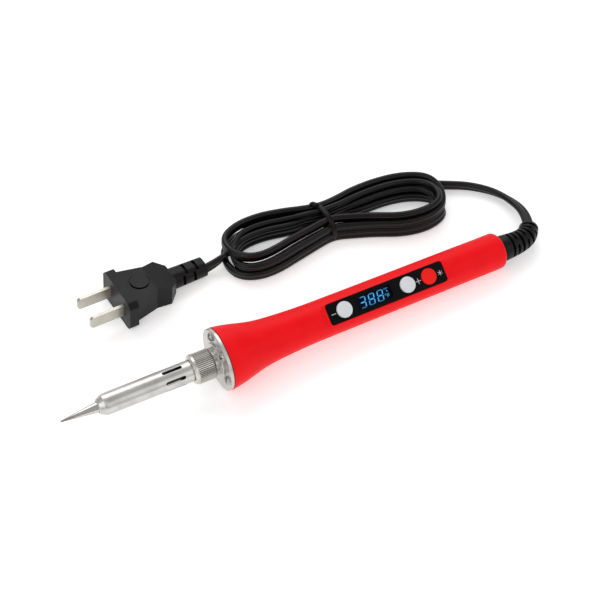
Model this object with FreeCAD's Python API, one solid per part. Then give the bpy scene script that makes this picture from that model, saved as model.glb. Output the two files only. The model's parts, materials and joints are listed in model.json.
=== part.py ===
import FreeCAD, Part
import math
import os

# Mains soldering iron with a digital display in its handle, a flat twin cord tied in a hank,
# and a two-blade plug.  Millimetres.
#
# The iron is drawn along its own axis and is laid on the floor at the end:
#   x  runs back along the iron, 0 at the front rim of the handle, the tip at negative x
#   z  is the display's outward normal, y makes the frame right-handed
# Round the axis, an angle is measured from z towards -y.

V = FreeCAD.Vector
X_AXIS = V(1, 0, 0)
ORIGIN = V(0, 0, 0)

# ---------------------------------------------------------------- clearances
RUN = 0.05            # radial clearance of a piece that turns or slides in another
SLIP = 0.10           # clearance of a piece that is pushed in by hand
LOOSE = 0.30          # clearance of a piece that only has to miss another
SKIN = 0.02           # overlap of two shapes that are fused into one piece

# ---------------------------------------------------------------- handle
HANDLE_LENGTH = 144.0
FRONT_RADIUS = 14.4           # rim of the flare, the widest part of the iron
GRIP_RADIUS = 8.85            # straight grip
REAR_STEP = 0.25              # the rear end is this much slimmer than the grip
FLARE_LENGTH = 58.0
# the flare's outline: share of its length from the rim, share of its rise above the grip
FLARE = [(0.0, 1.0), (0.14, 0.75), (0.29, 0.376), (0.48, 0.15), (0.72, 0.03), (1.0, 0.0)]
REAR_ROUND = 2.4              # rounded rear edge
REAR_WALL = 2.6
HANDLE_WALL = 1.8             # grip wall
FLARE_WALL = 5.1              # wall at the front rim, which takes the flange screws
NOSE_BORE_LENGTH = 12.0       # straight bore behind the rim
NOSE_TAPER_LENGTH = 14.0      # taper from the nose bore to the grip bore

# ---------------------------------------------------------------- display panel
PANEL_START = 50.6            # front edge of the black panel
PANEL_LENGTH = 60.2
PANEL_BORDER = 1.2            # panel beside its buttons
PANEL_CORNER = 1.4
PANEL_THICK = 0.85
PANEL_DEPTH = 1.45            # panel's face below the top of the grip
FACET_RISE = 0.08             # flat of the grip above the panel's face
FACET_MARGIN = 1.0            # flat beyond each end of the panel
FACET_SLOPE = 3.2             # length of the slope that leads the flat back up to the grip
WEB_THICK = 1.35              # handle wall under the panel

WINDOW_START = 14.2           # from the panel's front edge
WINDOW_LENGTH = 19.4
WINDOW_WIDTH = 8.2
GLASS_MARGIN = 0.7            # lens ledge: opening in the wall is this much smaller all round

# ---------------------------------------------------------------- buttons
BUTTON_RADIUS = 3.7
BUTTON_RISE = 0.85            # face above the panel's face
BUTTON_TRAVEL = 0.30
BUTTON_RIM = 0.55             # width and thickness of the hidden rim that keeps a button in
BUTTON_STEM_RADIUS = 1.6
BUTTON_EDGE = 0.35            # rounded edge of the button's face
BUTTONS = {"minus": 8.15, "plus": 40.7, "power": 51.8}    # from the panel's front edge
SWITCH_SIDE = 6.0
SWITCH_HEIGHT = 3.4
PLUNGER_RADIUS = 1.7

# ---------------------------------------------------------------- circuit board
BOARD_BEHIND = 2.0            # gap between the board and the cord's sheath
BOARD_THICK = 1.2
SWITCH_GAP = 0.9              # air between the switches and the handle
BOARD_LEAD_IN = 6.6           # board in front of the panel's front edge
RAIL_THICK = 1.1
RAIL_BITE = 0.7               # how far the rails cover the board's edge

# ---------------------------------------------------------------- front end
GASKET_THICK = 0.4
FLANGE_THICK = 1.4
FLANGE_INSET = 0.1            # flange is this much smaller than the rim
FLANGE_BOSS_STEP = 2.0        # boss round the collar
FLANGE_BOSS = 0.8
COLLAR_STEP = 0.4             # collar over the thread
COLLAR_LENGTH = 2.0
SCREW_CIRCLE = 11.6
SCREW_ANGLES = (-60, 0, 60, 180)
SCREW_RADIUS = 1.1
SCREW_LENGTH = 5.6
SCREW_HEAD_RADIUS = 2.05
SCREW_HEAD = 1.5
CROSS_WIDTH = 0.6             # arm of the cross recess
CROSS_DEPTH = 0.8

THREAD_LENGTH = 7.2
THREAD_PITCH = 1.0
THREAD_DEPTH = 0.4
FERRULE_WALL = 1.3
SWAGE_STEP = 0.7              # turned-over rear end that holds the ferrule in the flange
SWAGE = 0.6

NUT_WALL = 1.2
NUT_LENGTH = 9.6
NUT_LIP = 1.4                 # inward lip that holds the barrel
NUT_BAND = 1.7                # plain band in front of the knurl
NUT_BAND_STEP = 0.45
KNURL_COUNT = 52
KNURL_DEPTH = 0.38

BARREL_RADIUS = 4.85
BARREL_WALL = 0.5
BARREL_AHEAD = 43.2           # barrel in front of the nut
BARREL_SHOULDER = 3.4         # tapered front
BARREL_FLANGE_STEP = 0.75
TAIL_STEP = 0.20              # barrel drawn down where it runs in the nut
TAIL_AHEAD = 0.4              # that much in front of the nut
BARREL_FLANGE_THICK = 1.0
SLOT_COUNT = 6
SLOT_PHASE = 24.0             # angle of the first vent slot
SLOT_LENGTH = 9.2
SLOT_WIDTH = 1.6
SLOT_BEHIND = 4.0             # vent slots end this far in front of the nut

# ---------------------------------------------------------------- tip and heater
TIP_AHEAD = 16.6              # cone in front of the barrel
TIP_POINT_RADIUS = 0.35
TIP_NECK_WALL = 0.5           # tip over its bore where the cone starts
MOUTH_GAP = 0.25              # gap round the tip in the barrel's mouth
TIP_FLANGE_LENGTH = 1.6
TIP_SHANK_LENGTH = 22.0
TIP_WALL = 1.2
HEATER_RADIUS = 1.9
HEATER_BEHIND = 14.0          # heater behind the rim
BUSH_LENGTH = 11.6
BUSH_HEAD = 1.4
BUSH_HEAD_STEP = 1.8
SLEEVE_LENGTH = 20.0
SLEEVE_WALL = 0.4
LEAD_RADIUS = 0.35
LEAD_OFFSET = 0.8

# ---------------------------------------------------------------- cord and its ends
CORD_WIDTH = 5.4              # flat twin cord, across both cores
CORD_THICK = 3.1
BOOT_RADIUS = 6.3             # strain relief at the handle
BOOT_END_RADIUS = 4.5
BOOT_HEAD_THICK = 2.4
STUB_LENGTH = 5.0             # sheathed cord inside the handle
TIE_WIDTH = 2.4
TIE_THICK = 1.0
HANK_HEIGHT = 13.0

PLUG_TURN = 4.4               # plug's heading against the iron
FACE_HALF_WIDTH = 13.0
FACE_HALF_HEIGHT = 8.1
FACE_THICK = 4.6
FACE_CORNER = 3.0
BODY_HALF_HEIGHT = 6.9
# half outline of the plug's body seen from above, behind its face
BODY_PLAN = [(4.0, 10.4), (17.0, 7.4), (23.5, 9.4), (28.0, 5.2)]
# half outline of the plug's body seen from the side
BODY_SIDE = [(4.0, BODY_HALF_HEIGHT), (16.5, BODY_HALF_HEIGHT), (28.0, 4.2)]
RELIEF_END = 45.0
RELIEF_HALF_WIDTH = (5.3, 4.9)
RELIEF_HALF_HEIGHT = (4.6, 4.1)
RELIEF_GROOVE = 1.4           # width of one slot in the strain relief
RELIEF_WEB = 0.6              # left between a side slot and the slot behind it
RELIEF_GROOVES = (32.0, 37.6)
RELIEF_CORE = 0.62            # core left inside the slots, as a share of the section
RELIEF_SIDE_CUT = 0.72        # side slots reach this share of the half height
RELIEF_TOP_CUT = 0.60         # top and bottom slots reach this share of the half width
BLADE_SPACING = 12.7
BLADE_LENGTH = 16.4
BLADE_HEIGHT = 6.35
BLADE_THICK = 1.5
BLADE_ROOT = 7.0              # blade inside the plug
CARRIER_START = 1.6
CARRIER_HALF_WIDTH = 8.4
CARRIER_HALF_HEIGHT = 4.2
THUMB_RADIUS = 4.3
THUMB_RISE = 0.5
THUMB_AT = 11.6
THUMB_GROOVE = 0.5            # groove round the thumb boss

# Routes on the floor, measured from the point below the handle's front rim.
BOOT_ROUTE = [(151.0, -0.3), (157.5, 0.3), (162.2, 2.3), (165.0, 6.0)]
BOOT_END_HEIGHT = 7.4
LEAD_ROUTE = [(168.6, 13.0, 6.6), (170.4, 24.0, 3.8), (166.6, 36.0, 2.7), (157.6, 45.6, 2.7),
              (146.0, 51.4, 2.7), (134.0, 53.6, 2.7)]
TAIL_ROUTE = [(26.0, 58.2, 3.4), (34.0, 56.2, 2.9)]
PLUG_FACE = (-25.3, 55.8)
HANK_OUTLINE = [(30.5, 57.0), (35.0, 46.5), (47.0, 43.0), (64.0, 45.0), (83.0, 48.0), (101.0, 39.5),
                (118.0, 32.0), (132.0, 32.5), (141.0, 42.5), (139.0, 54.5), (128.0, 63.5),
                (109.0, 66.5), (86.0, 64.0), (68.0, 67.5), (51.0, 71.0), (37.0, 67.5)]
TIE_AT = 83.0
TIE_SIDES = (47.0, 65.2)

# ---------------------------------------------------------------- radii that follow each other
BARREL_FLANGE = BARREL_RADIUS + BARREL_FLANGE_STEP
THREAD_RADIUS = BARREL_FLANGE + LOOSE
COLLAR_RADIUS = THREAD_RADIUS + COLLAR_STEP
FLANGE_BOSS_RADIUS = COLLAR_RADIUS + FLANGE_BOSS_STEP
SWAGE_RADIUS = COLLAR_RADIUS + SWAGE_STEP
FERRULE_BORE = THREAD_RADIUS - FERRULE_WALL
BUSH_HEAD_RADIUS = FERRULE_BORE + BUSH_HEAD_STEP
NUT_RADIUS = THREAD_RADIUS + NUT_WALL
TIP_BORE = HEATER_RADIUS + SLIP
TIP_SHANK_RADIUS = TIP_BORE + TIP_WALL
TIP_NECK_RADIUS = TIP_BORE + TIP_NECK_WALL
BARREL_MOUTH = TIP_NECK_RADIUS + MOUTH_GAP
PANEL_WIDTH = 2 * (BUTTON_RADIUS + PANEL_BORDER)

# ---------------------------------------------------------------- stations along the axis
FLANGE_BACK = -GASKET_THICK
FLANGE_FRONT = FLANGE_BACK - FLANGE_THICK
BOSS_FRONT = FLANGE_FRONT - FLANGE_BOSS
COLLAR_FRONT = BOSS_FRONT - COLLAR_LENGTH
THREAD_FRONT = COLLAR_FRONT - THREAD_LENGTH
NUT_BACK = COLLAR_FRONT - SLIP
NUT_FRONT = NUT_BACK - NUT_LENGTH
LIP_BACK = NUT_FRONT + NUT_LIP
BARREL_BACK = LIP_BACK + RUN + BARREL_FLANGE_THICK
BARREL_FRONT = NUT_FRONT - BARREL_AHEAD
BARREL_BORE = BARREL_RADIUS - BARREL_WALL
TIP_POINT = BARREL_FRONT - TIP_AHEAD
TIP_SEAT = BARREL_FRONT + BARREL_WALL + SLIP
SHOULDER_BACK = BARREL_FRONT + BARREL_SHOULDER
TIP_BACK = SHOULDER_BACK + TIP_FLANGE_LENGTH + TIP_SHANK_LENGTH
TIP_BORE_FRONT = TIP_SEAT + 0.4
HEATER_FRONT = TIP_BORE_FRONT + LOOSE

GRIP_BORE = GRIP_RADIUS - HANDLE_WALL
REAR_RADIUS = GRIP_RADIUS - REAR_STEP
NOSE_BORE = FRONT_RADIUS - FLARE_WALL
REAR_WALL_FRONT = HANDLE_LENGTH - REAR_WALL
PANEL_FACE = GRIP_RADIUS - PANEL_DEPTH
PANEL_SEAT = PANEL_FACE - PANEL_THICK
CEILING = PANEL_SEAT - WEB_THICK
PANEL_END = PANEL_START + PANEL_LENGTH
BOARD_START = PANEL_START - BOARD_LEAD_IN
BOARD_END = REAR_WALL_FRONT - BOOT_HEAD_THICK - STUB_LENGTH - BOARD_BEHIND
BOARD_TOP = CEILING - SWITCH_HEIGHT - SWITCH_GAP
BOARD_HALF = GRIP_BORE - 0.45
BOARD_BOTTOM = BOARD_TOP - BOARD_THICK
SWITCH_TOP = BOARD_TOP + SWITCH_HEIGHT
BUTTON_FOOT = SWITCH_TOP + BUTTON_TRAVEL + LOOSE
WINDOW_FRONT = PANEL_START + WINDOW_START

TILT = math.degrees(math.atan((FRONT_RADIUS - REAR_RADIUS) / (HANDLE_LENGTH - REAR_ROUND)))
ROLL = 33.4                   # display turned towards the side that the user looks from
AXIS_HEIGHT = FRONT_RADIUS * math.cos(math.radians(TILT))
AXIS_DROP = math.sin(math.radians(TILT))
PLUG_TILT = math.degrees(math.atan((FACE_HALF_HEIGHT - RELIEF_HALF_HEIGHT[1])
                                   / (RELIEF_END - FACE_THICK)))
PLUG_HEIGHT = (FACE_HALF_HEIGHT * math.cos(math.radians(PLUG_TILT))
               + FACE_THICK * math.sin(math.radians(PLUG_TILT)))


# ---------------------------------------------------------------- shape helpers
def rod(radius, x0, x1, y=0.0, z=0.0):
    return Part.makeCylinder(radius, x1 - x0, V(x0, y, z), X_AXIS)


def tube(radius, bore, x0, x1):
    return rod(radius, x0, x1).cut(rod(bore, x0 - 1, x1 + 1))


def block(x0, x1, y0, y1, z0, z1):
    return Part.makeBox(x1 - x0, y1 - y0, z1 - z0, V(x0, y0, z0))


def post(radius, x, y, z0, z1):
    return Part.makeCylinder(radius, z1 - z0, V(x, y, z0))


def turned(outline):
    """A solid turned about the x axis from (x, radius) points."""
    corners = [V(x, 0, r) for x, r in outline]
    face = Part.Face(Part.makePolygon(corners + [corners[0]]))
    return face.revolve(ORIGIN, X_AXIS, 360)


def plate(points, z0, z1):
    """A flat plate with the given outline in x and y."""
    corners = [V(x, y, z0) for x, y in points]
    face = Part.Face(Part.makePolygon(corners + [corners[0]]))
    return face.extrude(V(0, 0, z1 - z0))


def rounded_plate(x0, x1, half_width, corner, z0, z1):
    """A rectangular plate, even about y = 0, with round corners."""
    body = block(x0, x1, -half_width, half_width, z0, z1)
    upright = [e for e in body.Edges if abs(e.tangentAt(e.FirstParameter).z) > 0.9]
    return body.makeFillet(corner, upright)


def turn_to(shape, angle):
    """Turn a shape about the iron's axis, from z towards -y."""
    copy = shape.copy()
    copy.rotate(ORIGIN, X_AXIS, angle)
    return copy


def fused(shapes):
    whole = shapes[0].fuse(shapes[1:]) if len(shapes) > 1 else shapes[0]
    return whole.removeSplitter()


def strung(points, radius):
    """A tube along straight runs joined by tangent arcs as large as the runs allow."""
    pts = [V(*p) for p in points]
    edges = []
    start = pts[0]
    for before, corner, after in zip(pts, pts[1:], pts[2:]):
        run_in = before - corner
        run_out = after - corner
        cut = 0.45 * min(run_in.Length, run_out.Length)
        run_in.normalize()
        run_out.normalize()
        turn = math.pi - run_in.getAngle(run_out)
        print("  bend radius %.1f mm, turn %.0f deg" % (cut / math.tan(turn / 2), math.degrees(turn)))
        a = corner + run_in * cut
        b = corner + run_out * cut
        inner = run_in + run_out
        inner.normalize()
        bow = cut / math.cos(turn / 2) - cut * math.tan(turn / 2)
        reach = cut / math.tan(turn / 2)
        middle = corner + inner * (math.hypot(cut, reach) - reach)
        edges.append(Part.LineSegment(start, a).toShape())
        edges.append(Part.Arc(a, middle, b).toShape())
        start = b
    edges.append(Part.LineSegment(start, pts[-1]).toShape())
    spine = Part.Wire(edges)
    ring = Part.Wire([Part.makeCircle(radius, pts[0], pts[1] - pts[0])])
    sweep = spine.makePipeShell([ring], True, True)
    return sweep, spine.Length


# ---------------------------------------------------------------- tip, barrel, nut
def soldering_tip():
    body = turned([(TIP_POINT, 0), (TIP_POINT + 0.15, 0.6 * TIP_POINT_RADIUS),
                   (TIP_POINT + 0.5, TIP_POINT_RADIUS), (BARREL_FRONT, TIP_NECK_RADIUS),
                   (TIP_SEAT, TIP_NECK_RADIUS), (TIP_SEAT, BARREL_MOUTH),
                   (SHOULDER_BACK, BARREL_BORE - 1.5 * SLIP),
                   (SHOULDER_BACK + TIP_FLANGE_LENGTH, BARREL_BORE - 1.5 * SLIP),
                   (SHOULDER_BACK + TIP_FLANGE_LENGTH, TIP_SHANK_RADIUS),
                   (TIP_BACK, TIP_SHANK_RADIUS), (TIP_BACK, 0)])
    return body.cut(rod(TIP_BORE, TIP_BORE_FRONT, TIP_BACK + 1))


def slot_cutter():
    """One vent slot, cut upwards from the barrel's axis."""
    x1 = NUT_FRONT - SLOT_BEHIND
    x0 = x1 - SLOT_LENGTH
    half = SLOT_WIDTH / 2
    top = BARREL_RADIUS + 1
    middle = block(x0 + half, x1 - half, -half, half, 1, top)
    return middle.fuse([post(half, x, 0, 1, top) for x in (x0 + half, x1 - half)])


def tip_barrel():
    shoulder = SHOULDER_BACK
    nose = BARREL_MOUTH + 0.75
    tail = NUT_FRONT - TAIL_AHEAD
    outer = turned([(BARREL_FRONT, 0), (BARREL_FRONT, nose - 0.35), (BARREL_FRONT + 0.35, nose),
                    (shoulder - 0.9, BARREL_RADIUS - 0.2), (shoulder, BARREL_RADIUS),
                    (tail, BARREL_RADIUS), (tail, BARREL_RADIUS - TAIL_STEP),
                    (BARREL_BACK - BARREL_FLANGE_THICK, BARREL_RADIUS - TAIL_STEP),
                    (BARREL_BACK - BARREL_FLANGE_THICK, BARREL_FLANGE),
                    (BARREL_BACK, BARREL_FLANGE), (BARREL_BACK, 0)])
    # the tip's flange seats behind the mouth, inside the tapered front
    throat = BARREL_FRONT + BARREL_WALL
    inner = turned([(throat, 0), (throat, BARREL_MOUTH + SLIP), (shoulder, BARREL_BORE),
                    (BARREL_BACK + 1, BARREL_BORE), (BARREL_BACK + 1, 0)])
    body = outer.cut([inner, rod(BARREL_MOUTH, BARREL_FRONT - 1, throat + 1)])
    step = 360.0 / SLOT_COUNT
    return body.cut([turn_to(slot_cutter(), SLOT_PHASE + step * i) for i in range(SLOT_COUNT)])


def retaining_nut():
    knurl_front = NUT_FRONT + NUT_BAND
    ring = []
    for i in range(2 * KNURL_COUNT):
        radius = NUT_RADIUS - (KNURL_DEPTH if i % 2 else 0)
        angle = math.pi * i / KNURL_COUNT
        ring.append(V(knurl_front - SKIN, radius * math.sin(angle), radius * math.cos(angle)))
    teeth = Part.Face(Part.makePolygon(ring + [ring[0]]))
    teeth = teeth.extrude(V(NUT_BACK - knurl_front + SKIN, 0, 0))
    chamfer = 2 * KNURL_DEPTH
    envelope = turned([(knurl_front - 1, 0), (knurl_front - 1, NUT_RADIUS),
                       (NUT_BACK - chamfer, NUT_RADIUS), (NUT_BACK, NUT_RADIUS - chamfer),
                       (NUT_BACK, 0)])
    band = NUT_RADIUS - NUT_BAND_STEP
    front = turned([(NUT_FRONT, 0), (NUT_FRONT, band - 0.7), (NUT_FRONT + 0.7, band),
                    (knurl_front, band), (knurl_front, 0)])
    bores = [rod(BARREL_RADIUS + RUN, NUT_FRONT - 1, LIP_BACK + 1),
             rod(THREAD_RADIUS + RUN, LIP_BACK, NUT_BACK + 1)]
    return fused([teeth.common(envelope), front]).cut(bores)


def threaded_ferrule():
    outline = [(THREAD_FRONT, 0), (THREAD_FRONT, THREAD_RADIUS - THREAD_DEPTH)]
    x = THREAD_FRONT
    crest = THREAD_PITCH / 4
    while x + THREAD_PITCH < COLLAR_FRONT:
        outline += [(x + crest, THREAD_RADIUS), (x + 2 * crest, THREAD_RADIUS),
                    (x + 3 * crest, THREAD_RADIUS - THREAD_DEPTH),
                    (x + 4 * crest, THREAD_RADIUS - THREAD_DEPTH)]
        x += THREAD_PITCH
    neck = THREAD_RADIUS - THREAD_DEPTH
    outline += [(COLLAR_FRONT, neck), (COLLAR_FRONT, COLLAR_RADIUS - 0.2),
                (COLLAR_FRONT + 0.2, COLLAR_RADIUS), (BOSS_FRONT, COLLAR_RADIUS),
                (BOSS_FRONT, neck), (FLANGE_BACK, neck), (FLANGE_BACK, SWAGE_RADIUS),
                (FLANGE_BACK + SWAGE, SWAGE_RADIUS), (FLANGE_BACK + SWAGE, 0)]
    return turned(outline).cut(rod(FERRULE_BORE, THREAD_FRONT - 1, FLANGE_BACK + SWAGE + 1))


def screw_axis(angle):
    a = math.radians(angle)
    return -SCREW_CIRCLE * math.sin(a), SCREW_CIRCLE * math.cos(a)


def front_flange():
    radius = FRONT_RADIUS - FLANGE_INSET
    edge = 0.25
    disc = turned([(BOSS_FRONT, 0), (BOSS_FRONT, FLANGE_BOSS_RADIUS - edge),
                   (BOSS_FRONT + edge, FLANGE_BOSS_RADIUS), (FLANGE_FRONT, FLANGE_BOSS_RADIUS),
                   (FLANGE_FRONT, radius - edge), (FLANGE_FRONT + edge, radius),
                   (FLANGE_BACK, radius), (FLANGE_BACK, 0)])
    holes = [rod(THREAD_RADIUS - THREAD_DEPTH, BOSS_FRONT - 1, FLANGE_BACK + 1)]
    for angle in SCREW_ANGLES:
        holes.append(rod(SCREW_RADIUS + SLIP, BOSS_FRONT - 1, 1, *screw_axis(angle)))
    return disc.cut(holes)


def flange_screws():
    """Pan-head screws with a cross recess, one solid each."""
    back = FLANGE_FRONT
    front = back - SCREW_HEAD
    crown = SCREW_HEAD_RADIUS
    head = turned([(front, 0), (front, 0.55 * crown), (front + 0.25 * SCREW_HEAD, 0.82 * crown),
                   (front + 0.6 * SCREW_HEAD, crown), (back, crown), (back, 0)])
    screws = []
    for angle in SCREW_ANGLES:
        y, z = screw_axis(angle)
        shank = rod(SCREW_RADIUS, back - SKIN, back + SCREW_LENGTH + FLANGE_THICK)
        arm = 0.75 * crown
        half = CROSS_WIDTH / 2
        deep = front + CROSS_DEPTH
        cross = [block(front - 1, deep, -arm, arm, -half, half),
                 block(front - 1, deep, -half, half, -arm, arm)]
        screw = turn_to(fused([head, shank]).cut(cross), 25 + angle)
        screw.translate(V(0, y, z))
        screws.append(screw)
    return Part.makeCompound(screws)


def flange_gasket():
    """Insulating washer between the flange and the plastic."""
    washer = tube(FRONT_RADIUS - 3 * FLANGE_INSET, SWAGE_RADIUS + LOOSE, FLANGE_BACK, 0)
    return washer.cut([rod(SCREW_RADIUS + SLIP, -1, 1, *screw_axis(a)) for a in SCREW_ANGLES])


# ---------------------------------------------------------------- heater
def heating_element():
    return rod(HEATER_RADIUS, HEATER_FRONT, HEATER_BEHIND)


def heater_bush():
    seat = FLANGE_BACK + SWAGE
    body = turned([(seat - BUSH_LENGTH, 0), (seat - BUSH_LENGTH, FERRULE_BORE - SLIP),
                   (seat, FERRULE_BORE - SLIP), (seat, BUSH_HEAD_RADIUS),
                   (seat + BUSH_HEAD, BUSH_HEAD_RADIUS), (seat + BUSH_HEAD, 0)])
    return body.cut(rod(HEATER_RADIUS + RUN, seat - BUSH_LENGTH - 1, seat + BUSH_HEAD + 1))


def lead_spots():
    """Where each heater lead leaves the heater, and the pad that it goes to."""
    pad_x = BOARD_START + 2.5
    pad_z = BOARD_TOP + LEAD_RADIUS
    for i, (sy, sz) in enumerate(((-1, -1), (-1, 1), (1, 1), (1, -1))):
        yield V(HEATER_BEHIND, sy * LEAD_OFFSET, sz * LEAD_OFFSET), V(pad_x, 1.5 * (2 * i - 3), pad_z)


def heater_leads():
    leads = []
    bend = HEATER_BEHIND + SLEEVE_LENGTH + 3
    for start, pad in lead_spots():
        corner = V(bend, start.y, start.z)
        over = V(BOARD_START - 1.5, pad.y, pad.z)
        pieces = [Part.makeCylinder(LEAD_RADIUS, (b - a).Length, a, b - a)
                  for a, b in ((start, corner), (corner, over), (over, pad))]
        balls = [Part.makeSphere(LEAD_RADIUS, p) for p in (corner, over)]
        leads.append(fused(pieces + balls))
    return Part.makeCompound(leads)


def lead_sleeve():
    bore = LEAD_OFFSET * math.sqrt(2) + LEAD_RADIUS + SLIP
    return tube(bore + SLEEVE_WALL, bore, HEATER_BEHIND + 1, HEATER_BEHIND + 1 + SLEEVE_LENGTH)


# ---------------------------------------------------------------- handle and its panel
def handle_outline():
    rise = FRONT_RADIUS - GRIP_RADIUS
    flare = [V(u * FLARE_LENGTH, 0, GRIP_RADIUS + f * rise) for u, f in FLARE]
    curve = Part.BSplineCurve()
    curve.interpolate(flare)
    round_start = HANDLE_LENGTH - REAR_ROUND
    rear_top = V(round_start, 0, REAR_RADIUS)
    rear_end = V(HANDLE_LENGTH, 0, REAR_RADIUS - REAR_ROUND)
    corner = REAR_ROUND * math.sqrt(0.5)
    bow = V(round_start + corner, 0, REAR_RADIUS - REAR_ROUND + corner)
    line = [ORIGIN, flare[0]]
    edges = [Part.LineSegment(*line).toShape(), curve.toShape(),
             Part.LineSegment(flare[-1], rear_top).toShape(),
             Part.Arc(rear_top, bow, rear_end).toShape(),
             Part.LineSegment(rear_end, V(HANDLE_LENGTH, 0, 0)).toShape(),
             Part.LineSegment(V(HANDLE_LENGTH, 0, 0), ORIGIN).toShape()]
    return Part.Face(Part.Wire(edges))


def handle_hollow():
    taper_end = NOSE_BORE_LENGTH + NOSE_TAPER_LENGTH
    bore = turned([(-1, 0), (-1, NOSE_BORE), (NOSE_BORE_LENGTH, NOSE_BORE), (taper_end, GRIP_BORE),
                   (REAR_WALL_FRONT, GRIP_BORE), (REAR_WALL_FRONT, 0)])
    wide = GRIP_BORE + 1
    roof = block(PANEL_START - FACET_SLOPE, PANEL_END + FACET_SLOPE, -wide, wide, CEILING, wide)
    rails = []
    rail_in = BOARD_HALF - RAIL_BITE
    for side in (-1, 1):
        y0, y1 = sorted((side * rail_in, side * wide))
        for z0 in (BOARD_BOTTOM - SLIP - RAIL_THICK, BOARD_TOP + SLIP):
            rails.append(block(BOARD_START - 2, REAR_WALL_FRONT - BOOT_HEAD_THICK - LOOSE,
                               y0, y1, z0, z0 + RAIL_THICK))
    return bore.cut([roof] + rails)


def handle_shell():
    outer = handle_outline().revolve(ORIGIN, X_AXIS, 360)
    facet = PANEL_FACE + FACET_RISE
    x0 = PANEL_START - FACET_MARGIN
    x1 = PANEL_END + FACET_MARGIN
    high = GRIP_RADIUS + 1
    slope = FACET_SLOPE * (high - facet) / (GRIP_RADIUS - facet)
    side = [V(x0, -high, facet), V(x1, -high, facet), V(x1 + slope, -high, high),
            V(x0 - slope, -high, high)]
    flat = Part.Face(Part.makePolygon(side + [side[0]])).extrude(V(0, 2 * high, 0))
    seat = rounded_plate(PANEL_START - SLIP, PANEL_END + SLIP, PANEL_WIDTH / 2 + SLIP,
                         PANEL_CORNER + SLIP, PANEL_SEAT, high)
    view = GLASS_MARGIN
    opening = block(WINDOW_FRONT + view, WINDOW_FRONT + WINDOW_LENGTH - view,
                    view - WINDOW_WIDTH / 2, WINDOW_WIDTH / 2 - view, CEILING - 1, high)
    cuts = [handle_hollow(), flat, seat, opening,
            rod(BOOT_RADIUS + SLIP, REAR_WALL_FRONT - 1, HANDLE_LENGTH + 1)]
    for offset in BUTTONS.values():
        x = PANEL_START + offset
        cuts.append(post(BUTTON_RADIUS + BUTTON_RIM + SLIP, x, 0, rim_bottom() - BUTTON_TRAVEL - SLIP,
                         high))
        cuts.append(post(BUTTON_STEM_RADIUS + SLIP, x, 0, CEILING - 1, high))
    for angle in SCREW_ANGLES:
        cuts.append(rod(SCREW_RADIUS + SKIN, -1, SCREW_LENGTH + 0.6, *screw_axis(angle)))
    return outer.cut(cuts)


def rim_bottom():
    """Lower face of a button's hidden rim at rest: the rim lies under the panel."""
    return PANEL_SEAT - BUTTON_RIM + SKIN - SLIP / 2


def display_panel():
    panel = rounded_plate(PANEL_START, PANEL_END, PANEL_WIDTH / 2, PANEL_CORNER, PANEL_SEAT,
                          PANEL_FACE)
    holes = [post(BUTTON_RADIUS + SLIP, PANEL_START + offset, 0, PANEL_SEAT - 1, PANEL_FACE + 1)
             for offset in BUTTONS.values()]
    holes.append(block(WINDOW_FRONT, WINDOW_FRONT + WINDOW_LENGTH, -WINDOW_WIDTH / 2,
                       WINDOW_WIDTH / 2, PANEL_SEAT - 1, PANEL_FACE + 1))
    return panel.cut(holes)


def display_window():
    return block(WINDOW_FRONT + RUN, WINDOW_FRONT + WINDOW_LENGTH - RUN, RUN - WINDOW_WIDTH / 2,
                 WINDOW_WIDTH / 2 - RUN, PANEL_SEAT, PANEL_FACE)


def lcd_stack():
    """The backlight block on the board and the glass cell on top of it."""
    x0 = WINDOW_FRONT + 0.4
    x1 = x0 + WINDOW_LENGTH - 0.8
    half = WINDOW_WIDTH / 2 + 0.3
    middle = BOARD_TOP + 0.45 * (CEILING - LOOSE - BOARD_TOP)
    light = block(x0, x1, -half, half, BOARD_TOP, middle)
    glass = block(x0 + 0.3, x1 - 0.3, -half, half, middle, CEILING - LOOSE)
    return light, glass


# ---------------------------------------------------------------- buttons and switches
def button(offset):
    x = PANEL_START + offset
    face = PANEL_FACE + BUTTON_RISE
    cap = post(BUTTON_RADIUS, x, 0, rim_bottom(), face)
    cap = cap.makeFillet(BUTTON_EDGE, [e for e in cap.Edges if abs(e.CenterOfMass.z - face) < 0.01])
    rim = post(BUTTON_RADIUS + BUTTON_RIM, x, 0, rim_bottom(), PANEL_SEAT - SLIP / 2)
    stem = post(BUTTON_STEM_RADIUS, x, 0, BUTTON_FOOT, rim_bottom() + SKIN)
    return fused([cap, rim, stem])


def plunger(offset):
    return post(PLUNGER_RADIUS, PANEL_START + offset, 0, SWITCH_TOP - 1.2, BUTTON_FOOT)


def switch_bodies():
    half = SWITCH_SIDE / 2
    bodies = []
    for offset in BUTTONS.values():
        x = PANEL_START + offset
        body = block(x - half, x + half, -half, half, BOARD_TOP, SWITCH_TOP)
        well = post(PLUNGER_RADIUS + RUN, x, 0, SWITCH_TOP - 1.2 - BUTTON_TRAVEL - SLIP,
                    SWITCH_TOP + 1)
        bodies.append(body.cut(well))
    return Part.makeCompound(bodies)


# ---------------------------------------------------------------- board and components
def circuit_board():
    return block(BOARD_START, BOARD_END, -BOARD_HALF, BOARD_HALF, BOARD_BOTTOM, BOARD_TOP)


def under_board(x0, length, half_width, depth):
    return block(x0, x0 + length, -half_width, half_width, BOARD_BOTTOM - depth, BOARD_BOTTOM)


def triac():
    x0 = BOARD_START + 8
    body = under_board(x0, 10.8, 4.0, 2.7)
    legs = [block(x0 - 3.0, x0 + SKIN, y - 0.4, y + 0.4, BOARD_BOTTOM - 0.5, BOARD_BOTTOM)
            for y in (-2.3, 0, 2.3)]
    return fused([body] + legs)


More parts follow.
